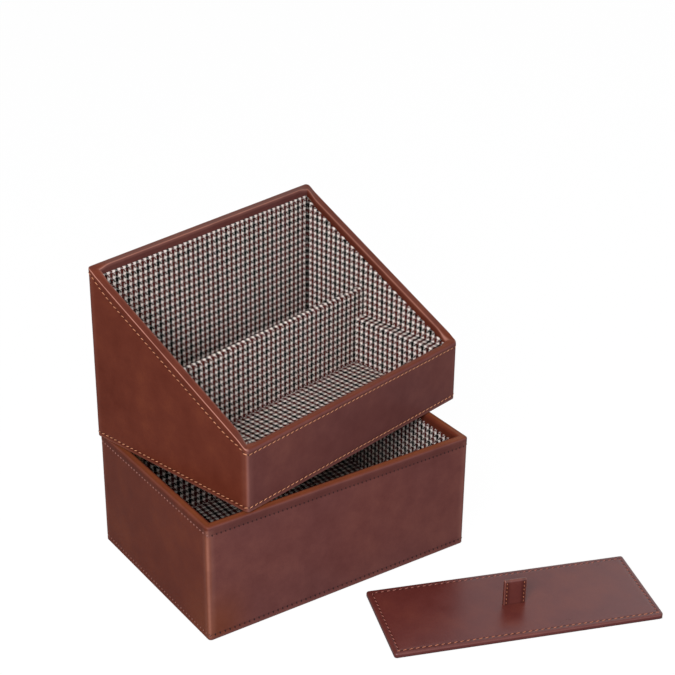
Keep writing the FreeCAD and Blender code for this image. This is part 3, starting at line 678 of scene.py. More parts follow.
class Walls:
    """The one piece leather skin of a box: turned under, up, over the rim and down the inside.

    Each part of its section is a list of rows of (inset, height, marks)."""

    def __init__(self, bench, width, depth, rim, fall, roll, foot, seam_depth, seam_dark=1.0, fade=None,
                 edge_rub_and_highlight=0.17, band_dark=BAND_DARK, foot_wear=0.12):
        self.bench, self.width, self.depth = bench, width, depth
        self.fade = fade or (lambda x, y, height: 0.0)   # where the walls are worn tan
        self.rim = rim                # height of the rim at a station and a place
        self.fall = fall              # rim to the upper stitches, at a station
        self.roll = roll              # Roll of the rim, at a station
        self.foot = foot              # base to the lower groove
        self.seam_depth = seam_depth  # how far the upper stitches draw the leather in
        self.seam_dark = seam_dark    # how dark the leather is beside the stitches
        self.edge_rub_and_highlight = edge_rub_and_highlight    # how far the upright edges are rubbed and painted lighter as highlight
        self.band_dark = band_dark    # how dark the band is between the stitches and the rim
        self.foot_wear = foot_wear    # how far the foot is rubbed

    def rim_at(self, station, inset):
        return self.rim(station, *station.spot(inset))

    def fade_at(self, station, height):
        return self.fade(*station.spot(0), height)

    def foot_rows(self, station, rubbed):
        """Under the base, round the foot and over the lower groove."""
        rows = [(TURN_UNDER, HIDE, PLAIN), (TURN_UNDER, 0, PLAIN), (4.0, 0, PLAIN), (1.6, 0, PLAIN)]
        rows += [(x, y, (self.foot_wear, 0, 0))
                 for x, y in arc((FOOT_ROUND + FACE, FOOT_ROUND), FOOT_ROUND, -90, -180, 4)]
        for inset, height, press_shade in groove(self.foot, *FOOT_GROOVE):
            dark = press_shade * FOOT_PRESS * self.seam_dark
            rows.append((FACE + inset, height, (rubbed, dark, self.fade_at(station, height))))
        return rows

    def face_rows(self, station, roll, rubbed):
        """Up the outer face and over the upper groove, to the rim."""
        top = self.rim_at(station, 0)
        seam = top - self.fall(station)
        low, high = self.foot + 2.0, seam - 1.7
        heights = [lerp(low, high, step / FACE_STEPS) for step in range(FACE_STEPS + 1)]
        rows = [(FACE, height, (rubbed, 0, self.fade_at(station, height))) for height in heights]
        for (inset, height, press_shade), on_face in zip(groove(seam, SEAM_HALF, self.seam_depth), SEAM_ON_FACE):
            dark = max(press_shade * self.seam_dark, self.band_dark * (1 - on_face))
            rows.append((FACE * on_face + inset, height, (rubbed, dark, 0)))
        rows.append((0.0, lerp(seam + 0.8, top - roll.outer, 0.5), (rubbed, self.band_dark, 0)))
        return rows

    def rim_rows(self, station, roll):
        """Over the rim, from its outer roll to its inner one."""
        # tan along the rim's top; on the drawer box's rim it is partly painted highlight
        def tan(inset):
            return roll.tan * math.sin(math.pi * inset / WALL) ** 2

        rows = []
        for step, (x, y) in enumerate(arc((roll.outer, 0.0), roll.outer, 180, 90, ROLL_STEPS)):
            darker = (self.band_dark - BAND_DARK) * (1 - step / ROLL_STEPS)
            marks = (roll.worn_outer * crown(step) ** 3, darker, tan(x))
            rows.append((x, self.rim_at(station, x) - roll.outer + y, marks))
        mitre = MITRE_DARK * (station.bend > 0.99) * (1 - roll.tan)
        for share in (0.25, 0.5, 0.75):
            inset = lerp(roll.outer, WALL - roll.inner, share)
            rows.append((inset, self.rim_at(station, inset) - 0.05, (0, mitre, tan(inset))))
        for step, (x, y) in enumerate(arc((WALL - roll.inner, 0.0), roll.inner, 90, 0, ROLL_STEPS)):
            marks = (roll.worn_inner * crown(step), 0, tan(x))
            rows.append((x, self.rim_at(station, x) - roll.inner + y, marks))
        return rows

    def inner_rows(self, station, roll):
        """Down the inside to the turned-in edge, then between the leather and the board."""
        under = self.rim_at(station, WALL)
        # The turned-in strip gets painted shade, as it lies down inside the rim.
        rows = [(WALL, lerp(under - roll.inner, under - TURN_IN, share), (0, TURN_IN_SHADE, 0))
                for share in (0.4, 0.8, 1)]
        rows += [(BOARD_FACE, under - TURN_IN, PLAIN),
                 (BOARD_FACE, self.rim_at(station, BOARD_FACE) - HIDE, PLAIN),
                 (HIDE, self.rim_at(station, HIDE) - HIDE, PLAIN), (HIDE, HIDE, PLAIN)]
        return rows

    def section(self, station):
        roll = self.roll(station)
        # Upright edges are rubbed and given painted highlight.
        beside_edge = 0.3 * (1 - ramp_up(station.to_corner, 0.0, EDGE_REACH))
        rubbed = self.edge_rub_and_highlight * max(station.bend, beside_edge)
        return (self.foot_rows(station, rubbed) + self.face_rows(station, roll, rubbed)
                + self.rim_rows(station, roll) + self.inner_rows(station, roll))

    def skin(self, name, material):
        ring = stations(self.width, self.depth, CORNER, 3.0)
        points, faces, marks = sweep_round(ring, self.section, closed=True)
        points = [drawn_in(point, self.width, self.depth) for point in points]
        return piece(name, self.bench, points, faces, material, marks)

    def stitch_line(self, height):
        """A closed line of stitches on the outer face, at a height that is found at each station."""
        line = []
        for station in stations(self.width, self.depth, CORNER, 4.0):
            x, y = station.spot(FACE + STITCH_SUNK)
            inner = station.spot(FACE + STITCH_SUNK + 0.01)
            out = Vector((x - inner[0], y - inner[1], 0)).normalized()
            line.append((drawn_in((x, y, height(station)), self.width, self.depth), out))
        return (True, line)

    def upper_stitches(self):
        return self.stitch_line(lambda station: self.rim(station, *station.spot(0)) - self.fall(station))

    def lower_stitches(self):
        return self.stitch_line(lambda station: self.foot)


# ---------------- cloth covered cards
CARD_FOLD = 0.7               # radius of the cloth over a card's top edge
CARD_PUFF = 0.16              # padding of its face
CARD_ROWS = 18
NOTCH_EDGE = 0.02             # a card's top edge falls off over this, beside the corner block
PAD_SPACING = 4.0


class Cloth:
    """Sweeps a cloth covered section along a wall, and lays the check over it without a break."""

    def __init__(self, name, bench, start, way, out):
        self.name, self.bench = name, bench
        self.start, self.way, self.out = start, way, out

    def make(self, places, profile, material):
        """The profile gives a closed loop of (deep, height) at a place; the check runs up it."""
        points, weave = [], []
        for along in places:
            loop = profile(along)
            run = loop[0][1]
            for index, (deep, height) in enumerate(loop):
                if index:
                    run += math.hypot(deep - loop[index - 1][0], height - loop[index - 1][1])
                x = self.start[0] + self.way[0] * along + self.out[0] * deep
                y = self.start[1] + self.way[1] * along + self.out[1] * deep
                points.append((x, y, height))
                weave.append((along, run))
        faces = tube_faces(len(places), len(points) // len(places))
        made = piece(self.name + "_weave", self.bench, points, faces, material, weave=weave)
        return put_on(made, self.bench, "check_cloth", self.name)


def spread(length, spacing, extra=()):
    """Places along a length, with any extra ones."""
    count = max(int(length / spacing), 2)
    return sorted([length * step / count for step in range(count + 1)] + list(extra))


def card_profile(thickness, top, length, seed):
    """The section of a card whose top edge is at top(along); its face is slightly padded."""
    def profile(along):
        edge = top(along)
        ends = math.sin(math.pi * min(max(along / length, 0.0), 1.0)) ** 0.4
        loop = []
        for step in range(CARD_ROWS + 1):
            height = lerp(BOARD_FACE, edge - CARD_FOLD, step / CARD_ROWS)
            full = CARD_PUFF * ends * math.sin(math.pi * step / CARD_ROWS) ** 0.5
            loose = 0.10 * ends * (0.5 + 0.5 * wobble((along, height, 0), 11.0, seed))
            loop.append((thickness - 0.02 - CARD_PUFF + full - loose * (step > 0), height))
        thick = loop[-1][0]
        sag = 0.10 * (0.5 + 0.5 * wobble((along, 0, 0), 6.0, seed + 4))
        loop += arc((thick - CARD_FOLD, edge - CARD_FOLD - sag), CARD_FOLD, 0, 90, 5)[1:]
        loop += [(thick * 0.45, edge - sag - 0.03), (0.0, edge - 0.12), (0.0, BOARD_FACE)]
        return loop
    return profile


def cloth_card(name, bench, start, way, out, length, top, material, breaks=(), seed=1.0):
    """A card that stands against a wall, with cloth over it; seed makes its slack its own."""
    cloth = Cloth(name, bench, start, way, out)
    places = spread(length, 3.0, breaks)
    return cloth.make(places, card_profile(CARD, top, length, seed), material)


def cloth_pad(name, bench, low, high, material, lift=0.15):
    """A thin card on a floor, with cloth over it that rises and falls by up to lift."""
    (x0, y0, z0), (x1, y1, z1) = low, high
    nx, ny = max(int((x1 - x0) / PAD_SPACING), 2), max(int((y1 - y0) / PAD_SPACING), 2)
    points, faces = [], []
    for i in range(nx + 1):
        for j in range(ny + 1):
            x, y = lerp(x0, x1, i / nx), lerp(y0, y1, j / ny)
            edge = min(i, nx - i, j, ny - j) == 0
            rise = 0.0 if edge else lift * (0.5 + 0.5 * wobble((x, y, 0), 14.0, 2.0))
            points.append((x, y, z1 - lift + rise))
    for i in range(nx):
        for j in range(ny):
            a = i * (ny + 1) + j
            faces.append((a, a + ny + 1, a + ny + 2, a + 1))
    rim = [i * (ny + 1) for i in range(nx + 1)]
    rim += [nx * (ny + 1) + j for j in range(1, ny + 1)]
    rim += [i * (ny + 1) + ny for i in range(nx - 1, -1, -1)]
    rim += [j for j in range(ny - 1, 0, -1)]
    top = len(points)
    points += [(points[index][0], points[index][1], z0) for index in rim]
    for k in range(len(rim)):
        n = (k + 1) % len(rim)
        faces.append((rim[k], top + k, top + n, rim[n]))
    faces.append(tuple(top + k for k in range(len(rim))))
    weave = [point[:2] for point in points]
    made = piece(name + "_weave", bench, points, faces, material, weave=weave)
    return put_on(made, bench, "check_cloth", name)


# ---------------- stitches
ROUND_BEND = BEND_STEPS // 2      # a front run ends in the middle of the corners' bends


def parted_row(ring, line):
    """A closed line of stitches, parted into its front run and the rest."""
    on_front = [number for number, station in enumerate(ring) if station.side == 0]
    first, last = on_front[0] - ROUND_BEND, on_front[-1] + ROUND_BEND
    return (False, line[first:last + 1]), (False, line[last:] + line[:first + 1])


STITCH_SIZES = ("Pitch", "Length", "Width", "Height", "Slant", "Dimple")
SLANT_SPREAD = 0.08               # stitches differ in their slant by up to this, in radians
LENGTH_SPREAD = (0.9, 1.08)       # and in their length by these factors
DIMPLE_SUNK = -0.42               # in half heights of a stitch, as the next three are in half sizes
DIMPLE_LEAST = 0.72               # its length for a dimple of size 0
DIMPLE_GROWTH = 0.45              # its length grows less than its width
DIMPLE_DEEP = 0.7


def stitch_tree(shade):
    """A tree that lays stitches along the lines of a mesh, square to its `out` directions.

    Each stitch lies in a dimple of pressed leather, painted dark as the shade in its needle hole."""
    group = bpy.data.node_groups.new("stitch_row", "GeometryNodeTree")
    face = group.interface
    face.new_socket("Geometry", in_out="INPUT", socket_type="NodeSocketGeometry")
    for name in STITCH_SIZES:
        face.new_socket(name, in_out="INPUT", socket_type="NodeSocketFloat")
    face.new_socket("Thread", in_out="INPUT", socket_type="NodeSocketMaterial")
    face.new_socket("Geometry", in_out="OUTPUT", socket_type="NodeSocketGeometry")
    tree = Tree(group.nodes, group.links)
    given = tree.node("NodeGroupInput")
    lines = tree.node("GeometryNodeMeshToCurve", {}, {"Mesh": given.out("Geometry")}).out("Curve")
    even = tree.node("GeometryNodeResampleCurve", {"mode": "LENGTH"},
                     {"Curve": lines, "Length": given.out("Pitch")}).out("Curve")
    places = tree.node("GeometryNodeCurveToPoints", {"mode": "EVALUATED"}, {"Curve": even})
    out = tree.node("GeometryNodeInputNamedAttribute", {"data_type": "FLOAT_VECTOR"},
                    {"Name": "out"}).out("Attribute")
    facing = tree.node("FunctionNodeAxesToRotation", {"primary_axis": "Z", "secondary_axis": "X"},
                       {"Primary Axis": out, "Secondary Axis": places.out("Tangent")}).out("Rotation")
    uneven = tree.node("FunctionNodeRandomValue", {"data_type": "FLOAT"},
                       {2: -SLANT_SPREAD, 3: SLANT_SPREAD, "Seed": 4}).out(1)
    turn = tree.node("ShaderNodeCombineXYZ", {}, {"Z": given.out("Slant") + uneven}).out("Vector")
    slanted = tree.node("FunctionNodeRotateRotation", {"rotation_space": "LOCAL"},
                        {"Rotation": facing, "Rotate By": turn}).out("Rotation")
    grown = tree.node("FunctionNodeRandomValue", {"data_type": "FLOAT"},
                      {2: LENGTH_SPREAD[0], 3: LENGTH_SPREAD[1], "Seed": 11}).out(1)
    scale = tree.node("ShaderNodeCombineXYZ", {}, {
        "X": given.out("Length") * grown * 0.5, "Y": given.out("Width") * 0.5,
        "Z": given.out("Height") * 0.5}).out("Vector")

    def bead(rings):
        ball = tree.node("GeometryNodeMeshUVSphere", {}, {"Segments": 8, "Rings": rings, "Radius": 1.0})
        return tree.node("GeometryNodeSetShadeSmooth", {}, {"Geometry": ball.out("Mesh")}).out("Geometry")

    spread_out = tree.node("ShaderNodeCombineXYZ", {}, {
        "X": given.out("Dimple") * DIMPLE_GROWTH + DIMPLE_LEAST, "Y": given.out("Dimple"),
        "Z": DIMPLE_DEEP}).out("Vector")
    dimple = tree.node("GeometryNodeTransform", {}, {
        "Geometry": bead(4), "Translation": (0, 0, DIMPLE_SUNK), "Scale": spread_out}).out("Geometry")
    dimple = tree.node("GeometryNodeStoreNamedAttribute", {"data_type": "BOOLEAN", "domain": "FACE"},
                       {"Geometry": dimple, "Name": "dimple", "Value": True}).out("Geometry")
    both = tree.node("GeometryNodeJoinGeometry", {}, {"Geometry": bead(6)})
    tree.links.new(dimple.socket, both.node.inputs["Geometry"])
    laid = tree.node("GeometryNodeInstanceOnPoints", {}, {
        "Points": places.out("Points"), "Instance": both.out(), "Rotation": slanted, "Scale": scale})
    real = tree.node("GeometryNodeRealizeInstances", {}, {"Geometry": laid.out("Instances")}).out("Geometry")
    sewn = tree.node("GeometryNodeSetMaterial", {}, {"Geometry": real, "Material": given.out("Thread")}).out()
    in_dimple = tree.node("GeometryNodeInputNamedAttribute", {"data_type": "BOOLEAN"},
                          {"Name": "dimple"}).out("Attribute")
    done = tree.node("GeometryNodeSetMaterial", {},
                     {"Geometry": sewn, "Selection": in_dimple, "Material": shade}).out()
    tree.node("NodeGroupOutput", {}, {"Geometry": done})
    return group


def stitch_rows(name, bench, rows, group, thread, slot, pitch=STITCH, length=3.1, width=0.52, height=0.54,
                slant=0.27, dimple=1.4):
    """Lay stitches along rows; each row is (closed, [(point, outward direction), ...])."""
    mesh = bpy.data.meshes.new(name + "_rows")
    verts, edges, outs = [], [], []
    turn = bench.matrix.to_3x3()
    for closed, line in rows:
        first = len(verts)
        for point, out in line:
            verts.append(bench.at(point))
            outs.append((turn @ Vector(out)).normalized())
        edges += [(first + i, first + i + 1) for i in range(len(line) - 1)]
        if closed:
            edges.append((len(verts) - 1, first))
    mesh.from_pydata(verts, edges, [])
    marks = mesh.attributes.new("out", "FLOAT_VECTOR", "POINT")
    marks.data.foreach_set("vector", [part for out in outs for part in out])
    guide = stand(name + "_guide", mesh)
    modifier = guide.modifiers.new("stitches", "NODES")
    modifier.node_group = group
    sizes = (pitch * MM, length * MM, width * MM, height * MM, slant, dimple)
    wanted = dict(zip(STITCH_SIZES, sizes), Thread=thread)
    for item in group.interface.items_tree:
        if item.item_type == "SOCKET" and item.in_out == "INPUT" and item.name in wanted:
            modifier[item.identifier] = wanted[item.name]
    bpy.context.view_layer.update()
    graph = bpy.context.evaluated_depsgraph_get()
    made = bpy.data.meshes.new_from_object(guide.evaluated_get(graph))
    made.name = name
    bpy.data.objects.remove(guide)
    return put_on(stand(name, made), bench, slot)


# ---------------- the drawer box
# The drawer box's rim: its tan along the top is partly painted highlight, where light falls on the roll.
BOX_ROLL = Roll(outer=1.5, inner=1.3, worn_outer=0.04, worn_inner=0.0, tan=0.40)
BOX_FALL = 4.8                    # rim to the upper stitches
BOX_FRONT_FALL = 5.5
BOX_FOOT = 3.4                    # base to the lower stitches


def sun_faded(x, y, height):
    """The box's front left edge is worn tan, and the leather beside it is more golden low down."""
    from_edge = max(x, y)
    low_down = 0.20 * (1 - ramp_up(from_edge, 3, 34)) * (1 - ramp_up(height, 8, 40))
    return max(low_down, 0.13 * (1 - ramp_up(from_edge, 1.6, 3.6)))


def level_rim(station, x, y):
    return BOX_HEIGHT


def box_fall(station):
    """The stitches lie a little lower on the front than on the sides."""
    return lerp(BOX_FALL, BOX_FRONT_FALL, near_front(station))


def drawer_box(hide, cloth, shaded_front_thread, thread, foot_thread, group):
    walls = Walls(BOX, BOX_WIDTH, BOX_DEPTH, level_rim, box_fall, lambda station: BOX_ROLL, BOX_FOOT,
                  seam_depth=0.06, seam_dark=0.35, fade=sun_faded, edge_rub_and_highlight=0.30, band_dark=0.34,
                  foot_wear=0.05)
    put_on(walls.skin("box_leather", hide), BOX, "leather", "box_leather_cover")
    ring = stations(BOX_WIDTH, BOX_DEPTH, CORNER, 4.0)
    # The front rows take the thread painted with shade, the others its lit copy.
    rows = {"": (walls.upper_stitches()[1], thread, 2.8, 3.27),
            "foot_": (walls.lower_stitches()[1], foot_thread, 3.17, 3.17)}
    for place, (line, side_thread, front_pitch, pitch) in rows.items():
        front, others = parted_row(ring, line)
        stitch_rows("box_front_" + place + "stitches", BOX, [front], group, shaded_front_thread, "leather",
                    pitch=front_pitch, length=0.9, width=2.2, height=0.75, dimple=1.25)
        stitch_rows("box_" + place + "stitches", BOX, [others], group, side_thread, "leather",
                    pitch=pitch, length=1.3, width=1.35, height=0.9, dimple=1.6)

    top = BOX_HEIGHT - TURN_IN
    block = 2 * (PIVOT_INSET - BOARD_FACE) + BLOCK_GAP
    notch = top - BLOCK_HEIGHT - BLOCK_GAP
    far_x, far_y = BOX_WIDTH - BOARD_FACE, BOX_DEPTH - BOARD_FACE
    long_side = BOX_WIDTH - 2 * CLOTH_FACE
    short_side = BOX_DEPTH - 2 * BOARD_FACE

    def level(along):
        return top

    left_notch = short_side - block
    back_notch = block - CARD

    def left_top(along):
        return notch if along > left_notch else top

    def back_top(along):
        return notch if along < back_notch else top

    cloth_card("box_left_lining", BOX, (BOARD_FACE, BOARD_FACE), (0, 1), (1, 0), short_side, left_top,
               cloth, breaks=(left_notch, left_notch + NOTCH_EDGE), seed=1.0)
    cloth_card("box_right_lining", BOX, (far_x, BOARD_FACE), (0, 1), (-1, 0), short_side, level, cloth,
               seed=2.0)
    cloth_card("box_front_lining", BOX, (CLOTH_FACE, BOARD_FACE), (1, 0), (0, 1), long_side, level, cloth,
               seed=3.0)
    cloth_card("box_back_lining", BOX, (CLOTH_FACE, far_y), (1, 0), (0, -1), long_side, back_top, cloth,
               breaks=(back_notch - NOTCH_EDGE, back_notch), seed=4.0)
    cloth_pad("box_floor_lining", BOX, (CLOTH_FACE, CLOTH_FACE, BOARD_FACE),
              (BOX_WIDTH - CLOTH_FACE, BOX_DEPTH - CLOTH_FACE, BOARD_FACE + FLOOR_CARD), cloth)


# ---------------- the tray
MITRE_REACH = 7.0                 # how far from a corner the rims settle
TRAY_FALL = 3.2                   # rim to the stitches, in front and behind
TRAY_SIDE_FALL = 5.6              # the same on the sides, away from the corners
SIDE_FALL_REACH = 16.0            # how far from a corner it takes to get there
ROLL_REACH = 6.0                  # and how far the side walls' inner roll takes to settle
TRAY_FOOT = 2.9                   # base to the lower stitches


def tray_rim(station, x, y):
    """Level front and back rims, sloping sides, and a soft mitre where they meet."""
    slope = FRONT_HEIGHT + RISE * y
    side = station.side in (1, 3)
    inset = min(x, TRAY_WIDTH - x)
    if y < TRAY_DEPTH / 2:
        level, behind = FRONT_HEIGHT, y
        meet = FRONT_HEIGHT + RISE * min(behind, WALL) / 2
    else:
        level, behind = BACK_HEIGHT, TRAY_DEPTH - y
        meet = BACK_HEIGHT - RISE * min(behind, WALL) / 2
    if side:
        return lerp((slope + level) / 2, slope, ramp_up(behind - min(inset, WALL), 0.0, MITRE_REACH))
    return lerp(meet, level, ramp_up(inset - min(behind, WALL), 0.0, MITRE_REACH))


def near_front(station):
    """1 on the front wall, 0 on the others, changing over the corners."""
    return max(0.0, 1.0 - min(abs(station.side), abs(station.side - 4)))


# The side rims' thin light edge lines are rubbing and painted highlight.
SIDE_ROLL = Roll(outer=0.45, inner=0.50, worn_outer=0.85, worn_inner=0.40, tan=0.0)
FRONT_ROLL = Roll(outer=2.1, inner=1.9, worn_outer=0.0, worn_inner=0.08, tan=0.1)


def tray_roll(station):
    """The inner roll changes along the side walls, so that both walls meet with the same one."""
    roll = SIDE_ROLL.mixed(FRONT_ROLL, near_front(station))
    behind = station.spot(0)[1] - CORNER
    roll.inner = lerp(FRONT_ROLL.inner, SIDE_ROLL.inner, ramp_up(behind, 0.0, ROLL_REACH))
    return roll


def tray_fall(station):
    """Stitches lie lower on the sides than on the front and the back."""
    if station.side in (1, 3):
        return lerp(TRAY_FALL, TRAY_SIDE_FALL, ramp_up(station.to_corner, 0.0, SIDE_FALL_REACH))
    return TRAY_FALL


def tray(hide, cloth, thread, group):
    walls = Walls(TRAY, TRAY_WIDTH, TRAY_DEPTH, tray_rim, tray_fall, tray_roll, TRAY_FOOT,
                  seam_depth=0.22)
    put_on(walls.skin("tray_leather", hide), TRAY, "leather", "tray_leather_cover")
    stitch_rows("tray_stitches", TRAY, [walls.upper_stitches(), walls.lower_stitches()], group, thread,
                "leather")

    far_x, far_y = TRAY_WIDTH - BOARD_FACE, TRAY_DEPTH - BOARD_FACE
    long_side = TRAY_WIDTH - 2 * CLOTH_FACE
    side = far_y - CLOTH_FACE

    def slope(along):
        return FRONT_HEIGHT + RISE * (CLOTH_FACE + along) - TURN_IN

    cloth_card("tray_left_lining", TRAY, (BOARD_FACE, CLOTH_FACE), (0, 1), (1, 0), side, slope, cloth,
               seed=5.0)
    cloth_card("tray_right_lining", TRAY, (far_x, CLOTH_FACE), (0, 1), (-1, 0), side, slope, cloth,
               seed=6.0)
    cloth_card("tray_front_lining", TRAY, (BOARD_FACE, BOARD_FACE), (1, 0), (0, 1),
               TRAY_WIDTH - 2 * BOARD_FACE, lambda along: FRONT_HEIGHT - TURN_IN, cloth, seed=7.0)
    cloth_card("tray_back_lining", TRAY, (CLOTH_FACE, far_y), (1, 0), (0, -1), long_side,
               lambda along: BACK_HEIGHT - TURN_IN, cloth, seed=8.0)
    floor_top = BOARD_FACE + FLOOR_CARD
    divider_back = DIVIDER_FACE + DIVIDER_THICKNESS
    cloth_pad("tray_front_floor_lining", TRAY, (CLOTH_FACE, CLOTH_FACE, BOARD_FACE),
              (TRAY_WIDTH - CLOTH_FACE, DIVIDER_FACE, floor_top), cloth)
    cloth_pad("tray_rear_floor_lining", TRAY, (CLOTH_FACE, divider_back, BOARD_FACE),
              (TRAY_WIDTH - CLOTH_FACE, TRAY_DEPTH - CLOTH_FACE, floor_top), cloth)
    divider(cloth, long_side)
    ledges(cloth, floor_top)


def divider(cloth, length):
    """Padded cloth over the divider's board: up the front, over the top and down the back."""
    half = DIVIDER_THICKNESS / 2
    slot = 1.0                    # thickness of the padded cloth over the board

    def profile(along):
        ends = math.sin(math.pi * min(max(along / length, 0.0), 1.0)) ** 0.5
        loop = []
        for step in range(CARD_ROWS + 1):
            height = lerp(BOARD_FACE, DIVIDER_HEIGHT - half, step / CARD_ROWS)
            loose = 0.14 * ends * (0.5 + 0.5 * wobble((along, height, 3), 12.0, 2.0)) * (step > 0)
            loop.append((loose, height))
        sag = 0.15 * (0.5 + 0.5 * wobble((along, 0, 0), 9.0, 8.0)) * ends
        loop += [(half - x, DIVIDER_HEIGHT - half + y - sag)
                 for x, y in arc((0.0, 0.0), half, 0, 180, 14)]
        for step in range(CARD_ROWS + 1):
            height = lerp(DIVIDER_HEIGHT - half, BOARD_FACE, step / CARD_ROWS)
            loose = 0.14 * ends * (0.5 + 0.5 * wobble((along, height, 7), 12.0, 5.0)) * (step < CARD_ROWS)
            loop.append((DIVIDER_THICKNESS - loose, height))
        loop += [(DIVIDER_THICKNESS - slot, BOARD_FACE), (DIVIDER_THICKNESS - slot, DIVIDER_HEIGHT - slot),
                 (slot, DIVIDER_HEIGHT - slot), (slot, BOARD_FACE)]
        return loop

    cover = Cloth("divider_cover", TRAY, (CLOTH_FACE, DIVIDER_FACE), (1, 0), (0, 1))
    cover.make(spread(length, 3.0), profile, cloth)


def ledges(cloth, floor_top):
    """Cloth covered packings along the side walls, which the lid rests on."""
    length = DIVIDER_FACE - CLOTH_FACE
    face, fold = LEDGE_WIDTH - 0.08, 0.8

    def profile(along):
        loop = [(face, lerp(floor_top, LEDGE_TOP - fold, step / 10)) for step in range(11)]
        loop += arc((face - fold, LEDGE_TOP - fold), fold, 0, 90, 6)[1:]
        loop += [(lerp(face - fold, 0, share), LEDGE_TOP) for share in (0.35, 0.7, 1.0)]
        loop.append((0.0, floor_top))
        return loop

    left = Cloth("lid_ledge_left", TRAY, (CLOTH_FACE, CLOTH_FACE), (0, 1), (1, 0))
    left.make(spread(length, 4.0), profile, cloth)
    right = Cloth("lid_ledge_right", TRAY, (TRAY_WIDTH - CLOTH_FACE, CLOTH_FACE), (0, 1), (-1, 0))
    right.make(spread(length, 4.0), profile, cloth)


# ---------------- the lid
LID_EDGE = 1.1                    # radius of its rolled edge
LID_SEAM = 3.0                    # edge to the stitches
LID_GROOVE = (0.55, 0.2)          # half width and depth


def lid(hide, cloth, thread, other_rows_thread, group):
    ring = stations(LID_LENGTH, LID_DEPTH, LID_CORNERS, 3.5)
    top, edge = LID_THICKNESS, LID_EDGE
    groove_half, groove_deep = LID_GROOVE

    def section(station):
        # The lid's side is painted darker towards its foot, as its shadow where it meets the table.
        rows = [(LID_HIDE, top - LID_HIDE, PLAIN), (LID_HIDE, LID_PROUD, PLAIN),
                (0.25, LID_PROUD, (0, 0.6, 0)), (0.03, LID_PROUD + 0.22, (0, 0.5, 0)),
                (0.03, LID_PROUD + 0.9, (0, 0.15, 0)), (0.0, top - edge, (0, 0.1, 0))]
        rows += [(x, top - edge + y, (0.06 * math.sin(math.pi * (step + 1) / 6), 0.1, 0))
                 for step, (x, y) in enumerate(arc((edge, 0.0), edge, 180, 90, 5))][1:]
        rows += [(LID_SEAM + groove_half * place, top - groove_deep * share, (0, press_shade, 0))
                 for place, share, press_shade in GROOVE]
        rows += [(inset, top, PLAIN) for inset in (5.5, 9.0, 14.0, 20.0)]
        return rows

    points, faces, marks = sweep_round(ring, section, closed=False)
    put_on(piece("lid_leather", LID, points, faces, hide, marks), LID, "leather", "lid_leather_cover")
    cloth_pad("lid_lining_cloth", LID, (LID_HIDE, LID_HIDE, 0),
              (LID_LENGTH - LID_HIDE, LID_DEPTH - LID_HIDE, 0.8), cloth, lift=0.0)
    line = [((*station.spot(LID_SEAM), top - 0.12), (0, 0, 1)) for station in ring]
    tab_rows = pull_tab(hide)
    front, others = parted_row(ring, line)
    stitch_rows("lid_front_stitches", LID, [front], group, thread, "leather", length=2.8, width=0.65)
    stitch_rows("lid_stitches", LID, [others], group, other_rows_thread, "leather", length=2.5, width=0.55)
    stitch_rows("tab_stitches", LID, tab_rows, group, thread, "leather", pitch=2.4, length=1.4, width=0.55,
                slant=0.1, dimple=2.2)


TAB_SEAM = 1.5                    # side edge to the stitches


def pull_tab(hide):
    """A strip of leather folded double, its legs let into the lid; gives its lines of stitches."""
    x0 = LID_LENGTH / 2 - TAB_WIDTH / 2
    y0 = LID_DEPTH / 2 - TAB_THICKNESS / 2
    foot, top = LID_THICKNESS - LID_HIDE, LID_THICKNESS + TAB_HEIGHT
    half = TAB_THICKNESS / 2
    points, marks = [], []
    edge = [(0.0, 0.45), (0.12, 0.2), (0.35, 0.05), (0.9, 0.0), (TAB_SEAM, 0.05), (2.1, 0.0)]
    inmost = edge[-1][0]
    across = edge + [(lerp(inmost, TAB_WIDTH - inmost, step / 5), 0.0) for step in range(1, 5)]
    across += [(TAB_WIDTH - along, shrink) for along, shrink in reversed(edge)]
    for along, shrink in across:
        end = 0.12 if min(along, TAB_WIDTH - along) < 0.5 else 0.0
        seam = 0.75 if 0.6 < min(along, TAB_WIDTH - along) < 2.2 else 0.15
        loop = [(shrink, lerp(foot, top - half, step / 8), end) for step in range(9)]
        # The fold across the tab's top gets a painted highlight, besides the rubbed side ends.
        loop += [(half - (half - shrink) * math.cos(turn), top - half + (half - shrink) * math.sin(turn),
                  end + 0.10 * math.sin(turn))
                 for turn in (math.radians(180 * step / 10) for step in range(1, 10))]
        loop += [(TAB_THICKNESS - shrink, lerp(top - half, foot, step / 8), end) for step in range(9)]
        loop += [(half + 0.06, foot, 0), (half + 0.06, top - half, 0), (half - 0.06, top - half, 0),
                 (half - 0.06, foot, 0)]
        for deep, height, rub_highlight in loop:
            points.append((x0 + along, y0 + deep, height))
            # The tab is darker along its stitched borders, and painted with shade at its foot, where it goes
            # into the lid.
            marks.append((rub_highlight, max(seam, 0.8 * (1 - ramp_up(height - foot, 0.6, 2.2))), 0))
    faces = tube_faces(len(across), len(points) // len(across))
    put_on(piece("pull_tab", LID, points, faces, hide, by_name(marks)), LID, "leather", "lid_pull_tab")

    lines = []
    for x in (x0 + TAB_SEAM, x0 + TAB_WIDTH - TAB_SEAM):
        for y, out in ((y0 + 0.02, (0, -1, 0)), (y0 + TAB_THICKNESS - 0.02, (0, 1, 0))):
            heights = [lerp(LID_THICKNESS + 1.4, top - 2.2, step / 4) for step in range(5)]
            lines.append((False, [((x, y, height), out) for height in heights]))
    return lines


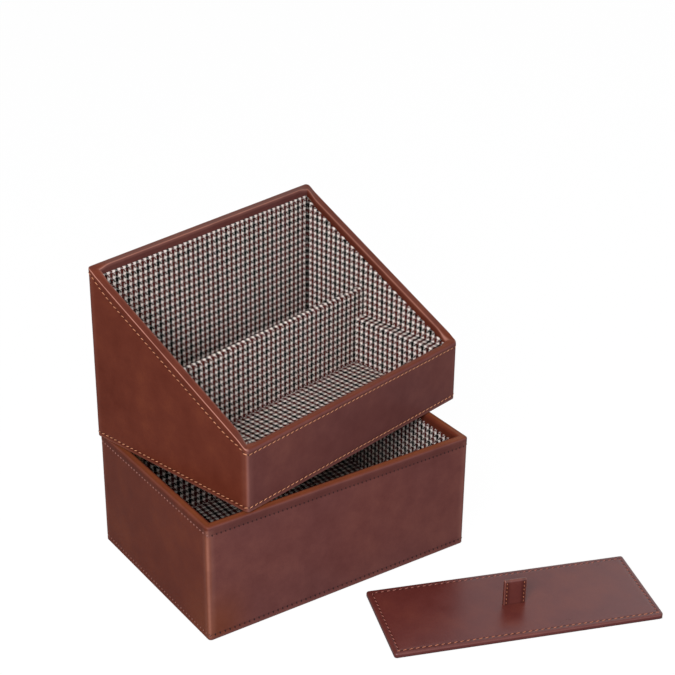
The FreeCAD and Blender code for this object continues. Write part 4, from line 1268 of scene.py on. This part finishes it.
# ---------------- the parts inside
def inside_parts(board, felt, wood, brass, steel, nylon):
    """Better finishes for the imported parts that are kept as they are."""
    finishes = {"corner_block": wood, "divider_board": board, "lid_board": board, "pivot_bush": brass,
                "pivot_bolt": steel, "lock_nut": steel, "glide_washer": nylon,
                "box_base_felt": felt, "tray_base_felt": felt}
    for name, node in frame["nodes"].items():
        material = finishes.get(name, board if name.endswith("_board") else None)
        if material is None:
            continue
        node.data.materials.clear()
        node.data.materials.append(material)


# ---------------- camera, light and floor
def camera():
    """Stand the camera at the front left, looking down over the open tray."""
    lens = bpy.data.cameras.new("camera")
    lens.sensor_width = 36.0
    lens.lens = 86.77
    lens.clip_end = 20.0
    eye = stand("camera", lens)
    eye.location = Vector((-452.51, -706.41, 556.67)) * MM
    eye.rotation_euler = Euler([math.radians(turn) for turn in (63.5523, -0.6132, -34.4489)])
    bpy.context.scene.camera = eye


def soft_light(name, place, target, size, power, colour=(1.0, 1.0, 1.0)):
    lamp = bpy.data.lights.new(name, "AREA")
    lamp.shape = "RECTANGLE"
    lamp.size, lamp.size_y = size
    lamp.energy = power
    lamp.color = colour
    tripod = stand(name, lamp)
    tripod.location = place
    tripod.rotation_euler = (Vector(target) - Vector(place)).to_track_quat("-Z", "Y").to_euler()


def studio():
    """A white floor and surround, a soft box at the left, a cooler one in front, a faint one at the right."""
    world = bpy.data.worlds.new("studio")
    tree = emptied(world)
    path = tree.node("ShaderNodeLightPath")
    mirrored = path.out("Is Glossy Ray").largest(path.out("Is Transmission Ray"))
    seen = path.out("Is Camera Ray").largest(mirrored)
    dim = tree.node("ShaderNodeBackground", {}, {"Color": (0.97, 0.98, 1.0, 1.0), "Strength": 0.34}).out()
    bright = tree.node("ShaderNodeBackground", {}, {"Color": (1.0, 1.0, 1.0, 1.0), "Strength": 1.0}).out()
    tree.node("ShaderNodeOutputWorld", {}, {"Surface": tree.node(
        "ShaderNodeMixShader", {}, {0: seen, 1: dim, 2: bright}).out()})
    bpy.context.scene.world = world

    floor_mesh = bpy.data.meshes.new("floor")
    reach = 3.0
    floor_mesh.from_pydata([(-reach, -reach, 0), (reach, -reach, 0), (reach, reach, 0), (-reach, reach, 0)],
                           [], [(0, 1, 2, 3)])
    floor = stand("floor", floor_mesh)
    material = bpy.data.materials.new("pale_floor")
    tree = emptied(material)
    path = tree.node("ShaderNodeLightPath")
    matt = tree.node("ShaderNodeBsdfDiffuse", {}, {"Color": (0.32, 0.32, 0.32, 1.0)}).out()
    glow = tree.node("ShaderNodeEmission", {}, {"Color": (1.0, 1.0, 1.0, 1.0), "Strength": 1.105}).out()
    share = path.out("Is Camera Ray") * 0.88
    tree.node("ShaderNodeOutputMaterial", {}, {"Surface": tree.node(
        "ShaderNodeMixShader", {}, {0: share, 1: matt, 2: glow}).out()})
    floor_mesh.materials.append(material)

    soft_light("left_box", (-0.76, -0.76, 0.80), (0, 0, 0.10), (0.7, 0.6), 17.2, (1.0, 0.98, 1.04))
    soft_light("front_box", (0.55, -1.25, 0.60), (0, 0, 0.05), (1.2, 0.6), 2.2, (0.90, 0.97, 1.08))
    soft_light("right_box", (1.20, 0.25, 0.90), (0, 0, 0.05), (1.0, 0.8), 2.5)


bpy.context.scene.view_settings.view_transform = "Standard"
camera()
studio()
HIDE_FINISH = hide_finish("waxed_hide", roughness=0.37, gloss=0.09, sheen=WHITE, painted_reflection_share=0.045,
                          dyes=(HIDE_DEEP, HIDE_PLUM, HIDE_WARM))
LID_FINISH = hide_finish("polished_hide", roughness=0.28, gloss=0.36, sheen=(0.80, 0.90, 1.0), painted_reflection_share=0.01,
                         dyes=(LID_DEEP, LID_PLUM, LID_WARM))
CLOTH = check_cloth()
TAN_THREAD = thread_finish("tan_thread", (0.78, 0.36, 0.185), (0.48, 0.19, 0.092))
RUSSET_THREAD = thread_finish("russet_thread", (0.52, 0.19, 0.10), (0.26, 0.085, 0.045))
DULL_THREAD = thread_finish("dull_thread", (0.42, 0.15, 0.11), (0.22, 0.075, 0.055))
# The drawer box's thread in two copies: a lit one for its sides and back, and one painted with shade for its
# front.
LIT_BOX_THREAD = thread_finish("lit_box_thread", (0.37, 0.162, 0.124), (0.235, 0.098, 0.075))
FOOT_THREAD = thread_finish("foot_thread", (0.224, 0.081, 0.058), (0.16, 0.056, 0.041))
# painted shade: the drawer box's front thread, darker than the same thread on its sides
SHADED_BOX_THREAD = thread_finish("shaded_box_thread", (0.048, 0.020, 0.020), (0.026, 0.011, 0.011), 0.08)
STITCHES = stitch_tree(hole_shade_hide())
drawer_box(HIDE_FINISH, CLOTH, SHADED_BOX_THREAD, LIT_BOX_THREAD, FOOT_THREAD, STITCHES)
tray(HIDE_FINISH, CLOTH, TAN_THREAD, STITCHES)
lid(LID_FINISH, CLOTH, RUSSET_THREAD, DULL_THREAD, STITCHES)
BRASS = turned_metal("brass", (0.80, 0.58, 0.26), 0.22)
STEEL = turned_metal("steel", (0.62, 0.62, 0.61), 0.25)
FIBREBOARD = plain_finish("fibreboard", (0.22, 0.15, 0.09), (0.46, 0.34, 0.22), (0.5, 4.0, 0.7), 0.85,
                          (0.05, 0.5), patches=(0.4, 9.0, 3.0))
FELT = plain_finish("base_felt", (0.020, 0.012, 0.009), (0.075, 0.045, 0.032), (0.3, 5.0, 0.75), 0.95,
                    (0.15, 0.8), patches=(0.3, 7.0, 2.0), **{"Specular IOR Level": 0.1, "Sheen Weight": 0.2})
BEECH = plain_finish("beech", (0.26, 0.14, 0.07), (0.46, 0.29, 0.16), ("X", 9.0, 3.0, 3.0), 0.55,
                     (0.03, 0.4), patches=(0.4, 0.7, 3.0), stops=(0.2, 0.8))
NYLON = plain_finish("glide_nylon", (0.60, 0.58, 0.52), (0.76, 0.75, 0.70), (1.5, 3.0), 0.45, (0.02, 0.3))
inside_parts(FIBREBOARD, FELT, BEECH, BRASS, STEEL, NYLON)
